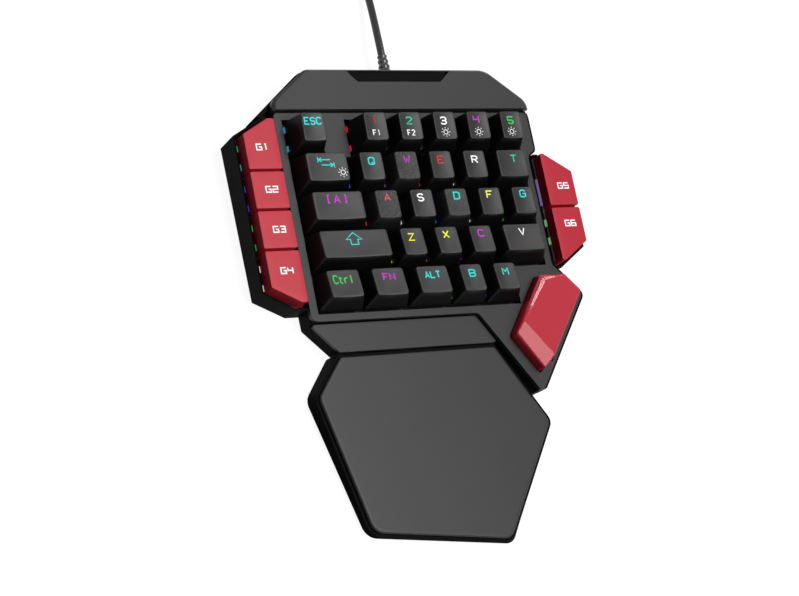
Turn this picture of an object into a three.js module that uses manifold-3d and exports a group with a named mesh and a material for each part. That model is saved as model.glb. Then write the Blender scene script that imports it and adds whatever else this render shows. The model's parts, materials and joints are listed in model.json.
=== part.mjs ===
// One-handed gaming keypad: 28 key caps, six macro keys, a thumb bar, a palm rest and a USB cord.
// Millimetres. The upper half is drawn flat, with x to the right, y to the rear and z square to
// the key deck, from the rear left corner of the key field. Then it is tilted onto its feet.
import * as THREE from 'three';
import { mergeVertices } from 'three/addons/utils/BufferGeometryUtils.js';
import Module from 'manifold-3d';

const wasm = await Module();
wasm.setup();

// Stance
const deck_tilt = THREE.MathUtils.degToRad(2);
const under_board_gap = 0.38;
const foot_height = 1.2;
const foot_radius = 5.5;
const seat_gap = 0.3;
const overrun = 1;

// Key field: one entry per key, in key pitches from the left edge
const pitch = 19.05;
const key_rows = [
  { keys: [['key_esc', 0, 1], ['key_1', 1.75, 1], ['key_2', 2.75, 1], ['key_3', 3.75, 1],
    ['key_4', 4.75, 1], ['key_5', 5.75, 1]] },
  { keys: [['key_tab', 0, 1.5], ['key_q', 1.5, 1], ['key_w', 2.5, 1], ['key_e', 3.5, 1],
    ['key_r', 4.5, 1], ['key_t', 5.5, 1.25]] },
  { keys: [['key_caps', 0, 1.75], ['key_a', 1.75, 1], ['key_s', 2.75, 1], ['key_d', 3.75, 1],
    ['key_f', 4.75, 1], ['key_g', 5.75, 1]] },
  { keys: [['key_shift', 0, 2.25], ['key_z', 2.25, 1], ['key_x', 3.25, 1], ['key_c', 4.25, 1],
    ['key_v', 5.25, 1.5]] },
  { keys: [['key_ctrl', 0, 1.25], ['key_fn', 1.25, 1.25], ['key_alt', 2.5, 1.25],
    ['key_b', 3.75, 1], ['key_m', 4.75, 1]] },
];
const field_width_share = 6.75;
const last_row_width_share = 5.75;
const filler_from_share = 1;
const filler_to_share = 1.75;

// Key caps, sculpted row by row
const cap_heights = [12.7, 10.1, 9.4, 9.8, 9.4];
const cap_top_tilts = [2.7, -0.1, -1.8, -7.6, -9.1].map(THREE.MathUtils.degToRad);
const cap_gap = 0.45;
const cap_base_drop = 0.75;
const cap_side_lean = 3.2;
const cap_front_lean = 4.2;
const cap_rear_lean = 0.3;
const cap_corner = 1.2;
const cap_edge = 0.6;
const cap_dish = 0.45;
const cap_dish_share = 0.55;
const cap_wall = 1.2;
const cap_roof = 1.4;

// Switches: a housing that stands through the plate, and a slider fixed under the cap
const key_travel = 3.6;
const plate_drop = 5.4;
const plate_thickness = 1.5;
const housing_size = 13.9;
const housing_top_size = 11;
const housing_rise = 6.4;
const housing_depth = 5;
const slider_width = 7;
const slider_depth = 5.4;
const slider_reach = 3.4;
const slider_clearance = 0.35;
const housing_floor = 1;
const post_radius = 2.8;

// Deck
const deck_thickness = 2.5;
const deck_left_margin = 4.4;
const deck_right_margin = 9.4;
const deck_wing_margin = 5;
const deck_front_margin = 3.85;
const deck_rear_margin = 4.4;
const deck_corner = 3.5;
const deck_skirt = 1.2;
const well_margin = 0.5;
// The slanted thumb end of the deck, in key pitches
const deck_thumb_share = 4.457;
const deck_thumb_shares = [[5.817, -7.31], [5.982, -7.31], [7.753, -4.859]];
const deck_notch_front_gap = 0.19;
const deck_notch_rear_gap = 0.78;
const deck_notch_slant = 2.2;

// Hood over the rear edge
const hood_rise = 2;
const hood_depth = 21.3;
const hood_side_depth = 4.5;
const hood_slant_run = 20.6;
const hood_chamfer = 1.3;
const hood_front_edge = 0.4;
const hood_wall = 1.8;
const insert_rear_width = 56;
const insert_front_width = 46;
const insert_depth = 6.4;
const insert_thickness = 1.4;

// Case
const case_wall = 2;
const case_floor = 1.5;
const case_draft = 0.4;
const case_step = 0.2;
const shoulder_reach = 7.2;
const shoulder_slant = 1.6;
const shoulder_rear = 0.7;
const boss_radius = 3;

// Bridge panel in front of the deck
const bridge_drop = 2.5;
const bridge_thickness = 1.8;
const bridge_depth = 13.8;
const bridge_left_run = 12.4;
const panel_groove = 0.7;

// Palm rest, a six sided pad: corners in key pitches
const palm_shares = [[0.437, -6.075], [-0.319, -7.037], [0.5, -10.407], [4.252, -10.916],
  [6.02, -8.085], [4.819, -6.066]];
const palm_rear_drop = 3;
const palm_front_drop = 5.2;
const palm_panel_thickness = 2;
const palm_panel_edge = 1;
const palm_corner = 3.5;
const palm_rims = [1.7, 1.6, 1.4, 2.1, 2.6];
const palm_flares = [3.2, 2.8, 1.8, 2.8, 2.8];
const palm_wall = 2;
const palm_rib = 1.6;
const tab_width = 18;
const tab_thickness = 2.4;
const tab_height = 4.5;
const tab_reach = 5;
const tab_share = 0.27;

// Macro keys on the wings
const wing_key_width = 17.4;
const wing_key_gap = 2.6;
const wing_key_seam = 1.2;
const wing_key_rise = 5.1;
const wing_key_skirt = 2.2;
const wing_key_draft = 0.4;
const wing_key_wall = 1.4;
const wing_key_roof = 1.8;
const wing_key_edge = 0.7;
const wing_key_corner = 0.9;
const wing_travel = 3;
const left_rear = 0.5;
const left_end_length = 25.2;
const left_middle_length = 18.2;
const left_slant_run = 14;
const left_slant_drop = 7.7;
const right_rear = 20.4;
const right_key_length = 27.3;
const right_key_width = 16.6;
const right_slant_run = 14.5;
const right_slant_drop = 9.6;
const wing_rim_drop = 1.5;
const wing_rim = 0.9;
const wing_gap = 0.7;
const wing_board_drop = 8;
const wing_housing_size = 13;
const wing_housing_top_size = 11.4;
const wing_housing_rise = 6.2;
const guide_width = 0.9;
const left_guide_width = 2.4;
const guide_drop = 0.4;

// Thumb bar, corners in key pitches
const thumb_shares = [[6.33, -4.385], [5.262, -5.88], [5.9, -6.85], [6.235, -6.54], [7.462, -4.85],
  [7.05, -4.37]];
const thumb_rise = 6.5;
const thumb_skirt = 2;
const thumb_draft = 0.2;
const thumb_edge = 0.9;
const thumb_corner = 1.6;
const thumb_wall = 1.6;
const thumb_roof = 2;
const thumb_gap = 0.5;
const thumb_switch_shares = [6.19, -5.565];
// Line where the top breaks into a facet that falls to the lower left edge
const thumb_break_shares = [[5.3, -5.25], [6.5, -6.85]];
const thumb_facet_drop = 1.3;

// Circuit boards
const board_thickness = 1.6;
const board_tab_width = 44;
const board_tab_depth = 17;
const chip_size = 9;
const chip_height = 1.2;
const socket_width = 11;
const socket_depth = 6;
const socket_height = 5;

// Screws
const screw_radius = 1.1;
const screw_head_radius = 2.5;
const screw_head_height = 1.6;
const screw_clearance = 0.3;
const hood_screw_inset = 24;
const hood_screw_y = 13;
const hood_boss_reach = 8.5;
const counterbore = 2.4;
const bridge_screw_share = 0.42;

// Cord and plug
const cord_diameter = 3.8;
const cord_exit_drop = 9.5;
const relief_base_radius = 3.8;
const relief_tip_radius = 2.5;
const relief_rib = 0.45;
const relief_length = 11.5;
const relief_inner_length = 5;
const relief_flange_radius = 5;
const relief_flange = 1.5;
const relief_bore_gap = 0.3;
const coil_layers = 4;
const coil_turns = 12.25;
const coil_loop_gap = 0.6;
const coil_middle_diameter = 42;
const coil_steps = 24;
const coil_sides = 6;
const coil_tail = 44;
const cord_sides = 8;
const cord_rest = 0.1;
const plug_width = 15.6;
const plug_height = 7.8;
const plug_length = 24;
const plug_edge = 1.4;
const plug_boot_length = 9;
const plug_boot_radius = 3.2;
const plug_tongue_thickness = 1.9;
const shell_width = 12;
const shell_height = 4.5;
const shell_length = 18.5;
const shell_wall = 0.4;
const shell_socket_depth = 5;

// Route of the free stretch of the cord: x, y and height above the table
const cord_points = [
  [3.1, 140, 9.6],
  [3.9, 148, 8.4],
  [4.8, 156, 6.9],
  [5.7, 165, 5],
  [6.3, 178, 2.9],
  [6.4, 190, 2.1],
];
const coil_start = [6.4, 206];

// Places that follow from those sizes
const field_width = field_width_share * pitch;
const field_depth = key_rows.length * pitch;
const deck_left = -deck_left_margin;
const deck_right = field_width + deck_right_margin;
const deck_front = -field_depth - deck_front_margin;
const wing_side = field_width + deck_wing_margin;
const hood_front = deck_rear_margin + seat_gap;
const hood_rear = hood_front + hood_depth;
const middle_x = (deck_left + deck_right) / 2;
const case_top = -deck_thickness - seat_gap;
const plate_bottom = -plate_drop - plate_thickness;
const board_top = -plate_drop - housing_depth;
const floor_top = foot_height + case_floor;
// Height of the deck's origin: the boards hang level under it, clear of the floor that the tilt
// raises towards the front row
const deck_height = floor_top + under_board_gap
  + (board_thickness - board_top) * Math.cos(deck_tilt) + field_depth * Math.sin(deck_tilt);
const left_outer = deck_left - wing_key_gap - wing_key_width;
const right_inner = wing_side + wing_key_gap;
const wing_rim_outset = wing_key_draft + wing_gap + wing_rim;
const right_front = -right_rear - 2 * right_key_length - wing_key_seam;

// Level, in the tilted frame, of a height above the table
function levelAt(height, y) {
  return (height - deck_height - y * Math.sin(deck_tilt)) / Math.cos(deck_tilt);
}

// Materials
const finishes = {
  shell: new THREE.MeshStandardMaterial({ color: 0x4c4c4d, roughness: 0.5, metalness: 0 }),
  black: new THREE.MeshStandardMaterial({ color: 0x1c1c1d, roughness: 0.55, metalness: 0 }),
  cap: new THREE.MeshStandardMaterial({ color: 0x343334, roughness: 0.45, metalness: 0 }),
  red: new THREE.MeshStandardMaterial({ color: 0xbd2f3a, roughness: 0.4, metalness: 0 }),
  board: new THREE.MeshStandardMaterial({ color: 0x16361f, roughness: 0.5, metalness: 0 }),
  guide: new THREE.MeshStandardMaterial({ color: 0xe8eef2, roughness: 0.3, metalness: 0 }),
  rubber: new THREE.MeshStandardMaterial({ color: 0x141414, roughness: 0.85, metalness: 0 }),
  steel: new THREE.MeshStandardMaterial({ color: 0xb4b6b8, roughness: 0.3, metalness: 1 }),
};

// Closed mesh to solid, and back
function solid(geometry) {
  const bare = geometry.clone();
  bare.deleteAttribute('normal');
  bare.deleteAttribute('uv');
  const merged = mergeVertices(bare);
  const mesh = new wasm.Mesh({
    numProp: 3,
    vertProperties: merged.attributes.position.array,
    triVerts: new Uint32Array(merged.index.array),
  });
  return new wasm.Manifold(mesh);
}

function toGeometry(manifold) {
  const mesh = manifold.getMesh();
  const geometry = new THREE.BufferGeometry();
  geometry.setAttribute('position', new THREE.BufferAttribute(mesh.vertProperties, 3));
  geometry.setIndex(new THREE.BufferAttribute(mesh.triVerts, 1));
  return geometry;
}

// Outline moved inwards by one distance, or by one distance for each edge; corners run
// anticlockwise, and a negative distance moves outwards
function inset(outline, distances) {
  const count = outline.length;
  const lines = outline.map((from, i) => {
    const to = outline[(i + 1) % count];
    const length = Math.hypot(to[0] - from[0], to[1] - from[1]);
    const normal = [(from[1] - to[1]) / length, (to[0] - from[0]) / length];
    const distance = Array.isArray(distances) ? distances[i] : distances;
    return { normal, offset: normal[0] * from[0] + normal[1] * from[1] + distance };
  });
  return outline.map((corner, i) => {
    const a = lines[(i + count - 1) % count];
    const b = lines[i];
    const cross = a.normal[0] * b.normal[1] - a.normal[1] * b.normal[0];
    return [
      (a.offset * b.normal[1] - b.offset * a.normal[1]) / cross,
      (b.offset * a.normal[0] - a.offset * b.normal[0]) / cross,
    ];
  });
}

// Outline with its corners rounded in short chords
function rounded(outline, radius, steps = 3) {
  const count = outline.length;
  return outline.flatMap((corner, i) => {
    const at = new THREE.Vector2(...corner);
    const back = new THREE.Vector2(...outline[(i + count - 1) % count]).sub(at);
    const ahead = new THREE.Vector2(...outline[(i + 1) % count]).sub(at);
    const half = Math.abs(back.angleTo(ahead)) / 2;
    const room = Math.min(back.length(), ahead.length()) * rounding_room_share;
    const reach = Math.min(radius / Math.tan(half), room);
    const start = at.clone().add(back.setLength(reach));
    const end = at.clone().add(ahead.setLength(reach));
    const bend = new THREE.QuadraticBezierCurve(start, at, end);
    return bend.getPoints(steps).map((point) => [point.x, point.y]);
  });
}
const rounding_room_share = 0.45;

// Outline at a level, which is a number or a function of the point
function ring(outline, level) {
  return outline.map(([x, y]) => [x, y, typeof level === 'function' ? level(y, x) : level]);
}

// Closed skin through rings of equal count, the lowest first
function loft(rings) {
  const count = rings[0].length;
  const index = [];
  for (let k = 0; k + 1 < rings.length; k += 1) {
    for (let i = 0; i < count; i += 1) {
      const a = k * count + i;
      const b = k * count + ((i + 1) % count);
      index.push(a, b, b + count, a, b + count, a + count);
    }
  }
  const last = (rings.length - 1) * count;
  const flat = (points) => points.map(([x, y]) => new THREE.Vector2(x, y));
  const lower = THREE.ShapeUtils.triangulateShape(flat(rings[0]), []);
  lower.forEach(([a, b, c]) => index.push(a, c, b));
  const upper = THREE.ShapeUtils.triangulateShape(flat(rings[rings.length - 1]), []);
  upper.forEach(([a, b, c]) => index.push(last + a, last + b, last + c));
  const geometry = new THREE.BufferGeometry();
  geometry.setAttribute('position', new THREE.Float32BufferAttribute(rings.flat(2), 3));
  geometry.setIndex(index);
  return solid(geometry);
}

function prism(outline, low, high) {
  const shape = new THREE.Shape(outline.map(([x, y]) => new THREE.Vector2(x, y)));
  const geometry = new THREE.ExtrudeGeometry(shape, { depth: high - low, bevelEnabled: false });
  return solid(geometry.translate(0, 0, low));
}

function box(from, to) {
  const size = to.map((value, i) => value - from[i]);
  const centre = to.map((value, i) => (value + from[i]) / 2);
  return solid(new THREE.BoxGeometry(...size).translate(...centre));
}

function drum(radius, x, y, low, high, sides = 12) {
  const geometry = new THREE.CylinderGeometry(radius, radius, high - low, sides);
  geometry.rotateX(Math.PI / 2);
  return solid(geometry.translate(x, y, (low + high) / 2));
}

function rectangle(left, right, front, rear) {
  return [[left, front], [right, front], [right, rear], [left, rear]];
}

// Shape turned about an upright line
function turned(shape, [x, y], degrees) {
  return shape.translate([-x, -y, 0]).rotate([0, 0, degrees]).translate([x, y, 0]);
}

function inPitches(shares) {
  return shares.map(([x, y]) => [x * pitch, y * pitch]);
}

const keypad = new THREE.Group();
const tilted = new THREE.Group();
keypad.add(tilted);

function place(name, shape, finish, parent = tilted, at = [0, 0, 0]) {
  const geometry = shape.isBufferGeometry ? shape : toGeometry(shape);
  const mesh = new THREE.Mesh(geometry, finish);
  mesh.name = name;
  mesh.position.set(...at);
  parent.add(mesh);
  return mesh;
}

// Key cap with the slider of its switch, drawn about the middle of its cell

function capRing(width_share, height, tilt, share, shrink) {
  const half = (width_share * pitch) / 2 - cap_gap;
  const depth = pitch / 2 - cap_gap;
  const outline = rectangle(
    -half + cap_side_lean * share,
    half - cap_side_lean * share,
    -depth + cap_front_lean * share,
    depth - cap_rear_lean * share,
  );
  const level = (y) => -cap_base_drop + (height + y * Math.tan(tilt)) * share;
  return { outline: inset(outline, shrink), level };
}

function keycap(width_share, row) {
  const height = cap_heights[row];
  const tilt = cap_top_tilts[row];
  const edge_share = 1 - cap_edge / height;
  const base = capRing(width_share, height, tilt, 0, 0);
  const side = capRing(width_share, height, tilt, edge_share, 0);
  const top = capRing(width_share, height, tilt, 1, cap_edge);
  const middle = (top.outline[0][1] + top.outline[2][1]) / 2;
  const rim = rounded(top.outline, cap_corner, 2);
  const dish = rim.map(([x, y]) => [x * cap_dish_share, middle + (y - middle) * cap_dish_share]);
  const outer = loft([
    ring(rounded(base.outline, cap_corner, 2), base.level),
    ring(rounded(side.outline, cap_corner, 2), side.level),
    ring(rim, top.level),
    ring(dish, (y) => top.level(y) - cap_dish),
  ]);
  const roof_share = 1 - cap_roof / height;
  const mouth = capRing(width_share, height, tilt, 0, cap_wall);
  const ceiling = capRing(width_share, height, tilt, roof_share, cap_wall);
  const hollow = loft([
    ring(mouth.outline, -cap_base_drop - overrun),
    ring(mouth.outline, -cap_base_drop),
    ring(ceiling.outline, ceiling.level),
  ]);
  const slider_top = housing_rise - plate_drop + key_travel;
  const slider = box(
    [-slider_width / 2, -slider_depth / 2, slider_top - key_travel - slider_reach],
    [slider_width / 2, slider_depth / 2, slider_top],
  );
  const post = drum(post_radius, 0, 0, slider_top - overrun, ceiling.level(0) + cap_roof / 2, 10);
  return outer.subtract(hollow).add(post).add(slider);
}

function housing(size, top_size, rise, depth, at, level) {
  const [x, y] = at;
  const square = (side) => rectangle(x - side / 2, x + side / 2, y - side / 2, y + side / 2);
  return loft([
    ring(square(size), level - depth),
    ring(square(size), level),
    ring(square(top_size), level + rise),
  ]);
}

function housingPocket(at, low, high) {
  const half_width = slider_width / 2 + slider_clearance;
  const half_depth = slider_depth / 2 + slider_clearance;
  return box(
    [at[0] - half_width, at[1] - half_depth, low],
    [at[0] + half_width, at[1] + half_depth, high],
  );
}

const switch_places = [];
key_rows.forEach(({ keys }, row) => {
  keys.forEach(([name, from_share, width_share]) => {
    const at = [(from_share + width_share / 2) * pitch, -(row + 1 / 2) * pitch];
    switch_places.push(at);
    place(name, keycap(width_share, row), finishes.cap, tilted, [...at, 0]);
  });
});

// Outline of the deck, with the notch for the right wing
const deck_right_side = [
  ...inPitches(deck_thumb_shares),
  [wing_side, right_front - deck_notch_front_gap],
  [wing_side, -right_rear + deck_notch_rear_gap],
  [deck_right, -right_rear + deck_notch_rear_gap + deck_notch_slant],
];
const deck_outline = [
  [deck_left, deck_front],
  [deck_thumb_share * pitch, deck_front],
  ...deck_right_side,
  [deck_right, deck_rear_margin],
  [deck_left, deck_rear_margin],
];
const thumb_outline = inPitches(thumb_shares);
const thumb_switch = thumb_switch_shares.map((share) => share * pitch);
const [thumb_rear, thumb_left] = thumb_outline;
const thumb_turn = THREE.MathUtils.radToDeg(
  Math.atan2(thumb_rear[1] - thumb_left[1], thumb_rear[0] - thumb_left[0]),
);

// Opening that the keys stand in, with the filler panel beside the escape key left standing
const well_outline = [
  [-well_margin, well_margin],
  [-well_margin, -field_depth - well_margin],
  [last_row_width_share * pitch + well_margin, -field_depth - well_margin],
  [last_row_width_share * pitch + well_margin, -field_depth + pitch - well_margin],
  [field_width + well_margin, -field_depth + pitch - well_margin],
  [field_width + well_margin, well_margin],
  [filler_to_share * pitch - well_margin, well_margin],
  [filler_to_share * pitch - well_margin, -pitch + well_margin],
  [filler_from_share * pitch + well_margin, -pitch + well_margin],
  [filler_from_share * pitch + well_margin, well_margin],
];

// Deck: a skin with a skirt round the key well, down to the switch plate
const skirt_bottom = -plate_drop + seat_gap;
const thumb_hole = rounded(inset(thumb_outline, -thumb_draft - thumb_gap), thumb_corner);
const deck = prism(rounded(deck_outline, deck_corner), -deck_thickness, 0)
  .add(prism(inset(well_outline, -deck_skirt), skirt_bottom, -deck_thickness / 2))
  .subtract(prism(well_outline, skirt_bottom - overrun, overrun))
  .subtract(prism(thumb_hole, skirt_bottom - overrun, overrun));
place('key_deck', deck, finishes.shell);

// Switch plate with the housings that it carries
const inner_margin = case_step + case_wall + case_draft + seat_gap;
const plate_outline = inset(deck_outline, inner_margin);
let plate = prism(plate_outline, plate_bottom, -plate_drop);
const plate_switches = [...switch_places.map((at) => ({ at, turn: 0 })),
  { at: thumb_switch, turn: thumb_turn }];
plate_switches.forEach(({ at, turn }) => {
  plate = plate.add(turned(housing(
    housing_size, housing_top_size, housing_rise, housing_depth - seat_gap, at, -plate_drop,
  ), at, turn));
});
plate_switches.forEach(({ at, turn }) => {
  const low = -plate_drop - housing_depth + housing_floor;
  plate = plate.subtract(turned(housingPocket(at, low, housing_rise), at, turn));
});
place('switch_plate', plate, finishes.black);

// Main board under the switches, with a tab to the cord
const tab_front = deck_rear_margin - inner_margin;
let main_board = prism(plate_outline, board_top - board_thickness, board_top).intersect(box(
  [deck_left, -field_depth, board_top - pitch],
  [deck_right, pitch, board_top + pitch],
));
main_board = main_board.add(box(
  [middle_x - board_tab_width / 2, tab_front - overrun, board_top - board_thickness],
  [middle_x + board_tab_width / 2, tab_front + board_tab_depth, board_top],
));
main_board = main_board.add(box(
  [middle_x - socket_width / 2, tab_front + board_tab_depth - socket_depth, board_top - overrun],
  [middle_x + socket_width / 2, tab_front + board_tab_depth, board_top + socket_height],
));
main_board = main_board.add(box(
  [middle_x - board_tab_width / 2 + chip_height, tab_front + chip_height, board_top - overrun],
  [middle_x - board_tab_width / 2 + chip_height + chip_size, tab_front + chip_height + chip_size,
    board_top + chip_height],
));
place('main_board', main_board, finishes.board);

// Macro keys: the outlines of their tops
const left_right_edge = deck_left - wing_key_gap;
const left_block_front = -left_rear - 2 * (left_end_length + left_middle_length)
  - 3 * wing_key_seam;
const left_block = [
  [left_outer, -left_rear - left_slant_drop],
  [left_outer, left_block_front + left_slant_drop],
  [left_outer + left_slant_run, left_block_front],
  [left_right_edge, left_block_front],
  [left_right_edge, -left_rear],
  [left_outer + left_slant_run, -left_rear],
];
const g1_front = -left_rear - left_end_length;
const g2_rear = g1_front - wing_key_seam;
const g3_rear = g2_rear - left_middle_length - wing_key_seam;
const g4_rear = g3_rear - left_middle_length - wing_key_seam;
const right_outer = right_inner + right_key_width;
const right_seam = -right_rear - right_key_length;
const right_inner_run = right_key_width - right_slant_run;
const right_block = [
  [right_inner, -right_rear],
  [right_inner, right_front],
  [right_inner + right_inner_run, right_front],
  [right_outer, right_front + right_slant_drop],
  [right_outer, -right_rear - right_slant_drop],
  [right_inner + right_inner_run, -right_rear],
];
const [left_outer_rear, left_outer_front, left_slant_front, left_inner_front, left_inner_rear,
  left_slant_rear] = left_block;
const [right_inner_rear, right_inner_front, right_slant_front, right_outer_front, right_outer_rear,
  right_slant_rear] = right_block;
const macro_keys = [
  { name: 'key_g1', side: 'left', outline: [left_outer_rear, [left_outer, g1_front],
    [left_right_edge, g1_front], left_inner_rear, left_slant_rear] },
  { name: 'key_g2', side: 'left', outline: rectangle(left_outer, left_right_edge,
    g2_rear - left_middle_length, g2_rear) },
  { name: 'key_g3', side: 'left', outline: rectangle(left_outer, left_right_edge,
    g3_rear - left_middle_length, g3_rear) },
  { name: 'key_g4', side: 'left', outline: [[left_outer, g4_rear], left_outer_front,
    left_slant_front, left_inner_front, [left_right_edge, g4_rear]] },
  { name: 'key_g5', side: 'right', outline: [right_inner_rear, [right_inner, right_seam],
    [right_outer, right_seam], right_outer_rear, right_slant_rear] },
  { name: 'key_g6', side: 'right', outline: [[right_inner, right_seam - wing_key_seam],
    right_inner_front, right_slant_front, right_outer_front,
    [right_outer, right_seam - wing_key_seam]] },
];

// Middle of the square part of a macro key, where its switch stands
function switchOf({ side, outline }) {
  const outer = side === 'left' ? left_outer : right_outer;
  const inner = side === 'left' ? left_right_edge : right_inner;
  const ys = outline.filter(([x]) => x === outer).map(([, y]) => y);
  return [(outer + inner) / 2, (Math.min(...ys) + Math.max(...ys)) / 2];
}

function macroKey(outline, centre) {
  const top = rounded(inset(outline, wing_key_edge), wing_key_corner, 2);
  const side = rounded(outline, wing_key_corner, 2);
  const base = rounded(inset(outline, -wing_key_draft), wing_key_corner, 2);
  const outer = loft([
    ring(base, -wing_key_skirt),
    ring(side, wing_key_rise - wing_key_edge),
    ring(top, wing_key_rise),
  ]);
  const hollow = loft([
    ring(inset(outline, wing_key_wall - wing_key_draft), -wing_key_skirt - overrun),
    ring(inset(outline, wing_key_wall), wing_key_rise - wing_key_roof),
  ]);
  const slider_bottom = -wing_board_drop + wing_housing_rise - slider_reach / 2;
  const slider = box(
    [centre[0] - slider_width / 2, centre[1] - slider_depth / 2, slider_bottom],
    [centre[0] + slider_width / 2, centre[1] + slider_depth / 2, wing_key_rise - wing_key_roof / 2],
  );
  return outer.subtract(hollow).add(slider);
}

macro_keys.forEach((key) => {
  place(key.name, macroKey(key.outline, switchOf(key)), finishes.red);
});

// Thumb bar: a tall cap that slides through the deck
const thumb_base = inset(thumb_outline, -thumb_draft);
const thumb_outer = loft([
  ring(rounded(thumb_base, thumb_corner), -thumb_skirt),
  ring(rounded(thumb_outline, thumb_corner), thumb_rise - thumb_edge),
  ring(rounded(inset(thumb_outline, thumb_edge / 3), thumb_corner), thumb_rise - thumb_edge / 3),
  ring(rounded(inset(thumb_outline, thumb_edge), thumb_corner), thumb_rise),
]);
const thumb_hollow = prism(
  inset(thumb_outline, thumb_wall), -thumb_skirt - overrun, thumb_rise - thumb_roof,
);
const thumb_slider = turned(box(
  [thumb_switch[0] - slider_width / 2, thumb_switch[1] - slider_depth / 2,
    housing_rise - plate_drop - slider_reach],
  [thumb_switch[0] + slider_width / 2, thumb_switch[1] + slider_depth / 2,
    thumb_rise - thumb_roof / 2],
), thumb_switch, thumb_turn);
const [break_from, break_to] = inPitches(thumb_break_shares);
const break_run = [break_to[0] - break_from[0], break_to[1] - break_from[1]];
const break_length = Math.hypot(...break_run);
function beyondBreak(x, y) {
  return (break_run[1] * (x - break_from[0]) - break_run[0] * (y - break_from[1])) / break_length;
}
const facet_reach = beyondBreak(...thumb_outline[2]);
const facet_level = (y, x) => thumb_rise - (beyondBreak(x, y) / facet_reach) * thumb_facet_drop;
const facet_side = [(break_run[1] / break_length) * pitch * 2, (-break_run[0] / break_length)
  * pitch * 2];
const facet_outline = [
  break_from,
  [break_from[0] + facet_side[0], break_from[1] + facet_side[1]],
  [break_to[0] + facet_side[0], break_to[1] + facet_side[1]],
  break_to,
];
const thumb_facet = loft([
  ring(facet_outline, facet_level),
  ring(facet_outline, thumb_rise + overrun),
]);
place('thumb_bar', thumb_outer.subtract(thumb_facet).subtract(thumb_hollow).add(thumb_slider),
  finishes.red);

// Wing boards with their low housings, and the light guides
const left_cavity = inset(left_block, [
  -wing_key_draft - wing_gap, -wing_key_draft - wing_gap, -wing_key_draft - wing_gap,
  -wing_key_gap + seat_gap, -wing_key_draft - wing_gap, -wing_key_draft - wing_gap,
]);
const right_cavity = inset(right_block, [
  -wing_key_gap + seat_gap, -wing_key_draft - wing_gap, -wing_key_draft - wing_gap,
  -wing_key_draft - wing_gap, -wing_key_draft - wing_gap, -wing_key_draft - wing_gap,
]);

function wingBoard(cavity, side) {
  const low = -wing_board_drop - board_thickness;
  let board = prism(inset(cavity, seat_gap + case_draft), low, -wing_board_drop);
  const places = macro_keys.filter((key) => key.side === side).map(switchOf);
  places.forEach((at) => {
    board = board.add(housing(
      wing_housing_size, wing_housing_top_size, wing_housing_rise, board_thickness / 2, at,
      -wing_board_drop,
    ));
  });
  places.forEach((at) => {
    board = board.subtract(housingPocket(at, -wing_board_drop + housing_floor, 0));
  });
  return board;
}
place('left_wing_board', wingBoard(left_cavity, 'left'), finishes.board);
place('right_wing_board', wingBoard(right_cavity, 'right'), finishes.board);

const guide_base = -wing_board_drop + seat_gap;
place('left_light_guide', box(
  [left_outer - wing_key_draft, left_outer_front[1], guide_base],
  [left_outer - wing_key_draft + left_guide_width, left_outer_rear[1],
    -wing_key_skirt - wing_travel - seat_gap],
), finishes.guide);
const right_guide_x = right_inner - wing_key_draft - seat_gap - guide_width;
place('right_light_guide', box(
  [right_guide_x, right_front + wing_key_seam, guide_base],
  [right_guide_x + guide_width, -right_rear - wing_key_seam, -guide_drop],
), finishes.guide);

// Hood, a shallow cover over the rear of the case
const hood_outline = [
  [deck_left, hood_front],
  [deck_right, hood_front],
  [deck_right, hood_front + hood_side_depth],
  [deck_right - hood_slant_run, hood_rear],
  [deck_left + hood_slant_run, hood_rear],
  [deck_left, hood_front + hood_side_depth],
];
const hood_insets = [hood_front_edge, ...Array(5).fill(hood_chamfer)];
const hood_ceiling_insets = [hood_wall, ...Array(5).fill(hood_wall + hood_chamfer)];
let hood = loft([
  ring(hood_outline, -deck_thickness),
  ring(hood_outline, hood_rise - hood_chamfer),
  ring(inset(hood_outline, hood_insets), hood_rise),
]);
hood = hood.subtract(loft([
  ring(inset(hood_outline, hood_wall), -deck_thickness - overrun),
  ring(inset(hood_outline, hood_wall), hood_rise - hood_chamfer - hood_wall),
  ring(inset(hood_outline, hood_ceiling_insets), hood_rise - hood_wall),
]));
const insert_front = hood_rear - insert_depth;
const insert_outline = [
  [middle_x - insert_front_width / 2, insert_front],
  [middle_x + insert_front_width / 2, insert_front],
  [middle_x + insert_rear_width / 2, hood_rear - hood_chamfer],
  [middle_x - insert_rear_width / 2, hood_rear - hood_chamfer],
];
const insert_floor = hood_rise - insert_thickness;
const insert_bed = prism(inset(insert_outline, -hood_wall), insert_floor - hood_wall, hood_rise / 2);
hood = hood.add(insert_bed.intersect(prism(
  inset(hood_outline, hood_chamfer), insert_floor - hood_wall, hood_rise / 2,
)));
hood = hood.subtract(prism(inset(insert_outline, -seat_gap), insert_floor - seat_gap, hood_rise
  + overrun));
const hood_screw_left_x = deck_left + hood_screw_inset;
const hood_screw_right_x = deck_right - hood_screw_inset;
const hood_screw_xs = [hood_screw_left_x, hood_screw_right_x];
hood_screw_xs.forEach((x) => {
  hood = hood.add(drum(boss_radius, x, hood_screw_y, -hood_boss_reach, hood_rise - hood_wall / 2));
});
hood_screw_xs.forEach((x) => {
  hood = hood.subtract(drum(
    screw_radius + screw_clearance, x, hood_screw_y, -hood_boss_reach - overrun, -deck_thickness,
  ));
});
place('rear_hood', hood, finishes.shell);
place('hood_insert', prism(insert_outline, insert_floor, hood_rise - seat_gap), finishes.black);

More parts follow.
